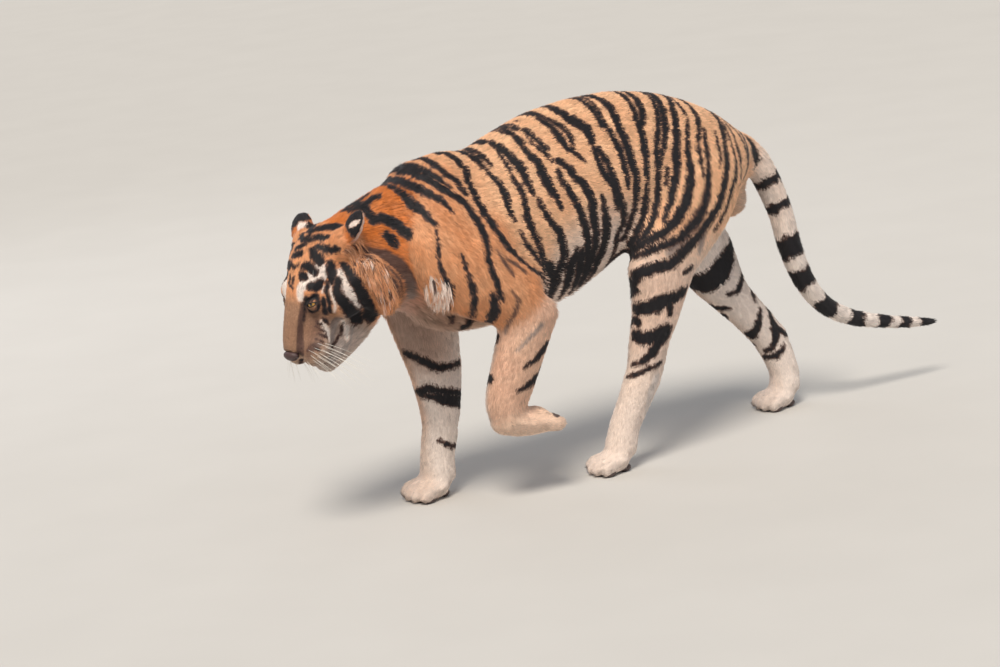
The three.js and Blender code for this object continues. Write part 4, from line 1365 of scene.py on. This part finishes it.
def eyeball(side):
    """A ball with a bulging cornea; each point keeps its angle from the pupil's middle and round it."""
    gaze, outer, upper = eye_axes(side)
    bpy.ops.mesh.primitive_uv_sphere_add(segments=64, ring_count=64, radius=EYE_RADIUS - 0.2 * MM)
    ball = bpy.context.object
    turned = Matrix((outer, upper, gaze)).transposed().to_4x4()
    ball.data.transform(Matrix.Translation(EYES[side]) @ turned)
    centre = np.array(EYES[side])
    offset = points_of(ball.data) - centre
    direction = unit(offset)
    off_axis = np.arccos(np.clip(direction @ np.array(gaze), -1, 1))
    bulge = CORNEA * np.clip(1 - (off_axis / IRIS) ** 2, 0, 1)
    set_points(ball.data, centre + offset + direction * bulge[:, None])
    add_numbers(ball.data, "off_axis", off_axis)
    add_numbers(ball.data, "around", np.arctan2(direction @ np.array(upper), direction @ np.array(outer)))
    return finished(ball, f"eyeball_{side}", "eye", f"eye_{side}")


def tube(name, lines, thickness, closed=False):
    """One mesh of round tubes, each along its own line of points with its own thickness at every point."""
    curve = bpy.data.curves.new(name, "CURVE")
    curve.dimensions = "3D"
    curve.bevel_depth = thickness
    curve.bevel_resolution = 2
    curve.use_fill_caps = not closed
    for points, radii in lines:
        spline = curve.splines.new("POLY")
        spline.points.add(len(points) - 1)
        for corner, point, radius in zip(spline.points, points, radii):
            corner.co = (*point, 1)
            corner.radius = radius
        spline.use_cyclic_u = closed
    select_only(add_piece(name, curve))
    bpy.ops.object.convert(target="MESH")
    return bpy.context.object


RIM_STEPS = 40  # along each lid


def lid_rim(side):
    """The bare dark edge of both lids."""
    gaze, outer, upper = eye_axes(side)
    points = []
    for step in range(2 * RIM_STEPS):
        across_angle = HALF_WIDTH * math.cos(math.pi * step / RIM_STEPS)
        top, bottom = opening_edges(across_angle)
        height = top if step < RIM_STEPS else bottom
        direction = (math.cos(height) * (math.cos(across_angle) * gaze + math.sin(across_angle) * outer)
                     + math.sin(height) * upper)
        points.append(EYES[side] + (EYE_RADIUS + 1.0 * MM) * direction)
    rim = tube(f"lid_rim_{side}", [(points, [1] * len(points))], 1.2 * MM, closed=True)
    return finished(rim, f"lid_rim_{side}", "bare_skin")


# in the head's centimetres: left, ahead, crown
NOSE_SIZE = (2.45, 1.20, 1.60)  # half sizes
NOSE_SET_BACK = (0, 0.42, 0.1)  # from the middle of the solid
NOSE_TURN = math.radians(-20)


def nose_leather():
    """A triangular pad with a groove down its middle and a comma-shaped nostril on each side."""
    bpy.ops.mesh.primitive_ico_sphere_add(subdivisions=6, radius=1)
    pad = bpy.context.object
    x, y, z = points_of(pad.data).T.copy()
    front = ramp(y, -0.1, 0.6)
    left = x * NOSE_SIZE[0] * (0.60 + 0.40 * ramp(z, -0.95, 0.25))  # narrower below
    crown = z * NOSE_SIZE[2]
    ahead = y * NOSE_SIZE[1] * (1 - 0.12 * x * x)
    nostril = np.hypot((np.abs(left) - 1.18) / 0.50, (crown + 0.05) / 0.42)
    comma = np.hypot((np.abs(left) - 1.75) / 0.62, (crown - 0.35 * (np.abs(left) - 1.2) + 0.1) / 0.22)
    ahead -= front * (0.75 * np.exp(-nostril**2) + 0.40 * np.exp(-comma**2))
    ahead += front * 0.10 * np.exp(-(((nostril - 1.45) / 0.35) ** 2))  # the nostril's rim
    ahead -= front * 0.16 * np.exp(-((left / 0.11) ** 2)) * ramp(-crown, -0.9, 0.2)  # the groove
    turn = np.array([[1, 0, 0], [0, math.cos(NOSE_TURN), -math.sin(NOSE_TURN)],
                     [0, math.sin(NOSE_TURN), math.cos(NOSE_TURN)]])
    at = head_places(np.array(middle("nose"))[None])[0]
    set_points(pad.data, off_head(np.stack([left, ahead, crown], 1) @ turn.T + at - NOSE_SET_BACK))
    return finished(pad, "nose_leather", "bare_skin", "nose")


# each whisker: [its root on the pad], [which way it sets out], length; in the head's centimetres, left side
WHISKERS = [
    [[3.9, 10.6, -2.8], [0.75, 0.20, -0.55], 8.0],
    [[4.0, 9.8, -2.9], [0.75, 0.10, -0.60], 9.5],
    [[4.2, 9.0, -3.0], [0.72, 0.02, -0.62], 11.0],
    [[4.3, 8.2, -3.1], [0.72, -0.05, -0.62], 12.0],
    [[4.0, 10.9, -3.5], [0.65, 0.25, -0.65], 9.0],
    [[4.1, 10.2, -3.6], [0.65, 0.15, -0.70], 11.0],
    [[4.2, 9.4, -3.7], [0.64, 0.08, -0.72], 12.5],
    [[4.4, 8.6, -3.7], [0.62, 0.00, -0.74], 13.5],
    [[4.5, 7.8, -3.8], [0.62, -0.08, -0.74], 12.5],
    [[4.0, 10.5, -4.3], [0.55, 0.20, -0.78], 10.0],
    [[4.2, 9.7, -4.4], [0.55, 0.12, -0.80], 12.0],
    [[4.3, 8.9, -4.5], [0.54, 0.04, -0.82], 13.0],
    [[4.5, 8.1, -4.5], [0.52, -0.05, -0.82], 12.0],
    [[4.0, 10.1, -5.1], [0.45, 0.18, -0.85], 8.5],
    [[4.2, 9.2, -5.2], [0.45, 0.08, -0.88], 10.0],
    [[4.4, 8.3, -5.2], [0.44, -0.02, -0.88], 9.5],
    [[3.4, 11.6, -3.2], [0.60, 0.40, -0.55], 6.0],
    [[4.6, -3.0, 4.8], [0.35, -0.60, 0.75], 4.0],
    [[5.4, -3.4, 4.4], [0.45, -0.65, 0.65], 3.6],
]
WHISKER_POINTS = 12
WHISKER_SAG = 0.14  # at the tip, as a share of the length


def whiskers():
    lines = []
    for sign in SIGNS.values():
        for root, heading, length in WHISKERS:
            place = np.array(root) * [sign, 1, 1] + random.normal(0, 0.12, 3)
            start = skin_tree.find_nearest(on_head(*place.tolist()))[0]
            out = np.array(heading) * [sign, 1, 1] + random.normal(0, 0.05, 3)
            out = Vector((out / np.linalg.norm(out)) @ HEAD_AXES)
            points = []
            for share in np.linspace(-0.02, 1, WHISKER_POINTS):
                sag = Vector((0, 0, -WHISKER_SAG * length * CM * share * abs(share)))
                points.append(start + out * length * CM * share + sag)
            lines.append((points, np.linspace(1, 0.25, WHISKER_POINTS)))
    return finished(tube("whiskers", lines, 0.48 * MM), "whiskers", "coat")


def foot_pads(name, paw):
    axes = Matrix(paw_axes(paw)).transposed().to_4x4()
    parts = []
    for centre, sizes in paw_pads(paw):
        bpy.ops.mesh.primitive_uv_sphere_add(segments=28, ring_count=18, radius=1)
        pad = bpy.context.object
        pad.data.transform(Matrix.Translation(centre) @ axes @ Matrix.Diagonal((*(Vector(sizes) * MM), 1)))
        parts.append(pad)
    select_only(parts[0])
    for pad in parts:
        pad.select_set(True)
    bpy.ops.object.join()
    return finished(bpy.context.object, f"pads_{name}", "bare_skin")


eyeballs = [eyeball(side) for side in EYES]
lid_rims = [lid_rim(side) for side in EYES]
nose_pad = nose_leather()
whisker_piece = whiskers()
foot_pad_pieces = [foot_pads(name, paw) for name, paw in PAWS.items()]

# ---- materials --------


def linear(text):
    """An sRGB hex colour as the linear values that Blender takes."""
    parts = [int(text[index:index + 2], 16) / 255 for index in (0, 2, 4)]
    return [part / 12.92 if part <= 0.04045 else ((part + 0.055) / 1.055) ** 2.4 for part in parts] + [1.0]


def add_node(tree, kind, settings=None, links=None):
    """Adds a node, with its settings by name, its input values by name or number, and its links, each from a
    socket or from a node's first output."""
    made = tree.nodes.new(kind)
    for name, value in (settings or {}).items():
        if isinstance(name, str) and hasattr(made, name):
            setattr(made, name, value)
        else:
            made.inputs[name].default_value = value
    for name, source in (links or {}).items():
        tree.links.new(getattr(source, "outputs", [source])[0], made.inputs[name])
    return made


def new_material(name, finish):
    """A material with one shader of this finish; also the shader, the node tree and Object coordinates."""
    material = bpy.data.materials.new(name)
    material.use_nodes = True
    tree = material.node_tree
    tree.nodes.clear()
    shader = add_node(tree, "ShaderNodeBsdfPrincipled", finish)
    add_node(tree, "ShaderNodeOutputMaterial", {}, {"Surface": shader})
    return material, shader, tree, add_node(tree, "ShaderNodeTexCoord").outputs["Object"]


def clouded(tree, place, scale, detail, low, high):
    """Two colours that run into each other in soft clouds."""
    cloud = add_node(tree, "ShaderNodeTexNoise", {"Scale": scale, "Detail": detail}, {"Vector": place})
    return add_node(tree, "ShaderNodeMix", {"data_type": "RGBA", 6: linear(low), 7: linear(high)},
                    {0: cloud}).outputs[2]


def give(material, *pieces):
    for piece in pieces:
        piece.data.materials.clear()
        piece.data.materials.append(material)


ORANGE = "cc702c"
SAND = "f8cca4"
BROWN = "62463c"
WHITE = "f3e7de"
BLACK = "18151a"
# the fur's patterns, as how many fit in a metre
TONE_PATCHES = 14.0  # stretches of warmer and paler ground, about 70 mm
MARK_GAPS = 65.0  # places where the ground shows through a mark, about 15 mm apart
MARK_EDGE = 220.0  # the marks' ragged edge, about 5 mm
UNDERCOAT = 620.0  # strands 1.6 mm wide: far coarser than hairs, so that they show


def fur(name, tufts):
    """Tiger hair: dry and matt, each tuft a little lighter or darker, with painted shade at its root and a
    painted highlight at its tip; black, brown, white and orange come from the markings, so that skin and tufts
    match."""
    material, shader, tree, place = new_material(name, {
        "Roughness": 0.62, "Sheen Weight": 0.12, "Sheen Roughness": 0.5, "Specular IOR Level": 0.35})
    black, brown, pale, warm = (add_node(tree, "ShaderNodeAttribute", {"attribute_name": key}).outputs["Fac"]
                                for key in COLOUR_NAMES)
    patchy, broken, ragged = (
        add_node(tree, "ShaderNodeTexNoise", {"Scale": scale, "Detail": detail}, {"Vector": place})
        for scale, detail in ((TONE_PATCHES, 3.0), (MARK_GAPS, 1.0), (MARK_EDGE, 2.0)))
    warm = add_node(tree, "ShaderNodeMath", {"operation": "MULTIPLY_ADD", 1: 0.5}, {0: patchy, 2: warm})
    warm = add_node(tree, "ShaderNodeMath", {"operation": "SUBTRACT", "use_clamp": True, 1: 0.25}, {0: warm})
    ragged = add_node(tree, "ShaderNodeMath", {"operation": "MULTIPLY_ADD", 1: 0.5, 2: -0.25}, {0: ragged})
    broken = add_node(tree, "ShaderNodeMath", {"operation": "MULTIPLY_ADD", 1: 1.3, 2: -0.65}, {0: broken})
    depth = add_node(tree, "ShaderNodeMath", {"operation": "ADD"}, {0: black, 1: ragged})
    depth = add_node(tree, "ShaderNodeMath", {"operation": "ADD"}, {0: depth, 1: broken})
    edge, core = (add_node(tree, "ShaderNodeMapRange", {"From Min": low, "From Max": high}, {"Value": depth})
                  for low, high in ((-0.34, -0.02), (0.0, 0.36)))
    colour = add_node(tree, "ShaderNodeMix", {"data_type": "RGBA", 6: linear(SAND), 7: linear(ORANGE)},
                      {0: warm})
    # the brown holds both brown marks and painted shade on the chest, the lower face, the bridge, the neck and
    # the tail
    for amount, over in ((brown, BROWN), (pale, WHITE), (edge, BROWN), (core, BLACK)):
        colour = add_node(tree, "ShaderNodeMix", {"data_type": "RGBA", 7: linear(over)},
                          {0: amount, 6: colour.outputs[2]})
    if tufts:
        shade, along = (add_node(tree, "ShaderNodeAttribute", {"attribute_name": key}).outputs["Fac"]
                        for key in ("shade", "along"))
        # painted shade and light along each tuft and lock: 0.82 at the root rising to 1.24 at the tip, with the
        # tuft's own random tone
        value = add_node(tree, "ShaderNodeMath", {"operation": "MULTIPLY_ADD", 1: 0.15, 2: 0.82}, {0: shade})
        value = add_node(tree, "ShaderNodeMath", {"operation": "MULTIPLY_ADD", 1: 0.42}, {0: along, 2: value})
    else:
        # noise drawn out along the hair: the place is moved back along its lie before the noise is read
        lie = add_node(tree, "ShaderNodeAttribute", {"attribute_name": "lie"}).outputs["Vector"]
        reach = add_node(tree, "ShaderNodeVectorMath", {"operation": "DOT_PRODUCT"}, {0: place, 1: lie})
        shorter = add_node(tree, "ShaderNodeMath", {"operation": "MULTIPLY", 1: -0.88},
                           {0: reach.outputs["Value"]})
        back = add_node(tree, "ShaderNodeVectorMath", {"operation": "SCALE"}, {0: lie, "Scale": shorter})
        combed = add_node(tree, "ShaderNodeVectorMath", {"operation": "ADD"}, {0: place, 1: back})
        grain = add_node(tree, "ShaderNodeTexNoise", {"Scale": UNDERCOAT, "Detail": 3.0}, {"Vector": combed})
        value = add_node(tree, "ShaderNodeMath", {"operation": "MULTIPLY_ADD", 1: 0.5, 2: 0.66}, {0: grain})
        bump = add_node(tree, "ShaderNodeBump", {"Strength": 0.6, "Distance": 1.2 * MM}, {"Height": grain})
        tree.links.new(bump.outputs[0], shader.inputs["Normal"])
    toned = add_node(tree, "ShaderNodeHueSaturation", {}, {"Value": value, "Color": colour.outputs[2]})
    tree.links.new(toned.outputs[0], shader.inputs["Base Color"])
    return material


def leather(name, low, high, grain, roughness):
    """Bare skin: dark, a little moist, with a fine pebbled grain."""
    material, shader, tree, place = new_material(name, {"Roughness": roughness})
    cells = add_node(tree, "ShaderNodeTexVoronoi", {"Scale": 1 / grain}, {"Vector": place})
    bump = add_node(tree, "ShaderNodeBump", {"Strength": 0.5, "Distance": 0.4 * MM, "invert": True},
                    {"Height": cells.outputs["Distance"]})
    tree.links.new(clouded(tree, place, 90.0, 3.0, low, high), shader.inputs["Base Color"])
    tree.links.new(bump.outputs[0], shader.inputs["Normal"])
    return material


# out from the middle of the pupil: the angle in radians, and the colour from there on
EYE_BANDS = [(0.0, "060505"), (0.17, "060505"), (0.19, "8a6a2c"), (0.34, "b98a3a"), (0.54, "8a5c26"),
             (0.61, "2a1c12"), (0.66, "1d1512"), (0.80, "4a3830")]


def wet_eye():
    """A tiger's eye: round pupil, amber iris streaked outwards, dark at its edge, brown white, wet cornea."""
    material, shader, tree, _ = new_material("tiger_eye", {
        "Roughness": 0.25, "Coat Weight": 1.0, "Coat Roughness": 0.03, "Coat IOR": 1.38})
    off_axis, around = (add_node(tree, "ShaderNodeAttribute", {"attribute_name": key}).outputs["Fac"]
                        for key in ("off_axis", "around"))
    spread = add_node(tree, "ShaderNodeMath", {"operation": "MULTIPLY", 1: 9.0}, {0: around})
    outwards = add_node(tree, "ShaderNodeMath", {"operation": "MULTIPLY", 1: 2.5}, {0: off_axis})
    streaked = add_node(tree, "ShaderNodeCombineXYZ", {}, {"X": spread, "Y": outwards})
    streaks = add_node(tree, "ShaderNodeTexNoise", {"Scale": 1.6, "Detail": 3.0}, {"Vector": streaked})
    shift = add_node(tree, "ShaderNodeMath", {"operation": "MULTIPLY_ADD", 1: 0.10, 2: -0.05}, {0: streaks})
    where = add_node(tree, "ShaderNodeMath", {"operation": "ADD"}, {0: off_axis, 1: shift})
    bands = add_node(tree, "ShaderNodeValToRGB", {}, {"Fac": where})
    stops = bands.color_ramp.elements
    while len(stops) < len(EYE_BANDS):
        stops.new(1.0)
    for stop, (position, text) in zip(stops, EYE_BANDS):
        stop.position = position
        stop.color = linear(text)
    tree.links.new(bands.outputs["Color"], shader.inputs["Base Color"])
    return material


def whisker_bristle():
    """Stiff white whisker, faintly clouded along its length, with a soft shine."""
    material, shader, tree, place = new_material("whisker_bristle", {"Roughness": 0.4})
    tree.links.new(clouded(tree, place, 60.0, 1.0, "d9d2c4", "f4f1ea"), shader.inputs["Base Color"])
    return material


def floor_paper():
    """Studio paper: matt and pale, hardly mottled."""
    material, shader, tree, place = new_material("studio_floor_paper", {"Roughness": 0.9})
    tree.links.new(clouded(tree, place, 3.0, 2.0, "c4c2be", "cac8c4"), shader.inputs["Base Color"])
    return material


give(fur("tiger_hair", tufts=True), *coat_pieces)
give(fur("tiger_undercoat", tufts=False), skin)
give(wet_eye(), *eyeballs)
give(leather("lid_rim_leather", "120f0f", "241c1a", 1.2 * MM, 0.35), *lid_rims)
give(leather("nose_leather", "35272a", "583f3c", 1.1 * MM, 0.50), nose_pad)
give(leather("foot_pad_leather", "453836", "5e4d49", 1.4 * MM, 0.6), *foot_pad_pieces)
give(whisker_bristle(), whisker_piece)

# ---- camera, floor and light --------

CAMERA_AT = Vector((6.6428, -4.0956, 1.9574))
CAMERA_AIM = Vector((-0.0044, -0.3575, 0.3821))
CAMERA_ROLL = math.radians(-6.835)
LENS, SENSOR = 116.2, 36  # mm
FLOOR_SIZE = 90


def facing(way):
    """The turn that makes a camera or lamp look that way."""
    return Vector(way).to_track_quat("-Z", "Y").to_matrix().to_4x4()


def add_camera():
    camera = add_piece("camera", bpy.data.cameras.new("camera"))
    camera.data.lens = LENS
    camera.data.sensor_width = SENSOR
    turn = facing(CAMERA_AIM - CAMERA_AT) @ Matrix.Rotation(CAMERA_ROLL, 4, "Z")
    camera.matrix_world = Matrix.Translation(CAMERA_AT) @ turn
    bpy.context.scene.camera = camera


def add_light(name, kind, energy, colour, placed):
    lamp = add_piece(name, bpy.data.lights.new(name, kind))
    lamp.data.energy = energy
    lamp.data.color = linear(colour)[:3]
    lamp.matrix_world = placed
    return lamp.data


def add_floor():
    bpy.ops.mesh.primitive_plane_add(size=FLOOR_SIZE)
    floor = bpy.context.object
    floor.name = "floor"
    give(floor_paper(), floor)


def add_world():
    world = bpy.data.worlds.new("studio")
    bpy.context.scene.world = world
    world.use_nodes = True
    background = world.node_tree.nodes["Background"]
    background.inputs["Color"].default_value = linear("e8eaee")
    background.inputs["Strength"].default_value = 0.5


add_floor()
# a very wide soft sun, alike over the whole floor, and two large lamps beside it
add_light("key", "SUN", 3.0, "fff6ea", facing((-0.50, 0.42, -1.0))).angle = math.radians(22)
for name, colour, place, aim in (("fill", "eef3ff", (4.5, 3.0, 2.2), (0, 0.1, 0.5)),
                                 ("far", "f4f6ff", (-4.0, -1.0, 3.0), (0, 0, 0.5))):
    placed = Matrix.Translation(place) @ facing(Vector(aim) - Vector(place))
    add_light(name, "AREA", 30, colour, placed).size = 3.0
add_world()
add_camera()
bpy.context.scene.view_settings.view_transform = "Standard"
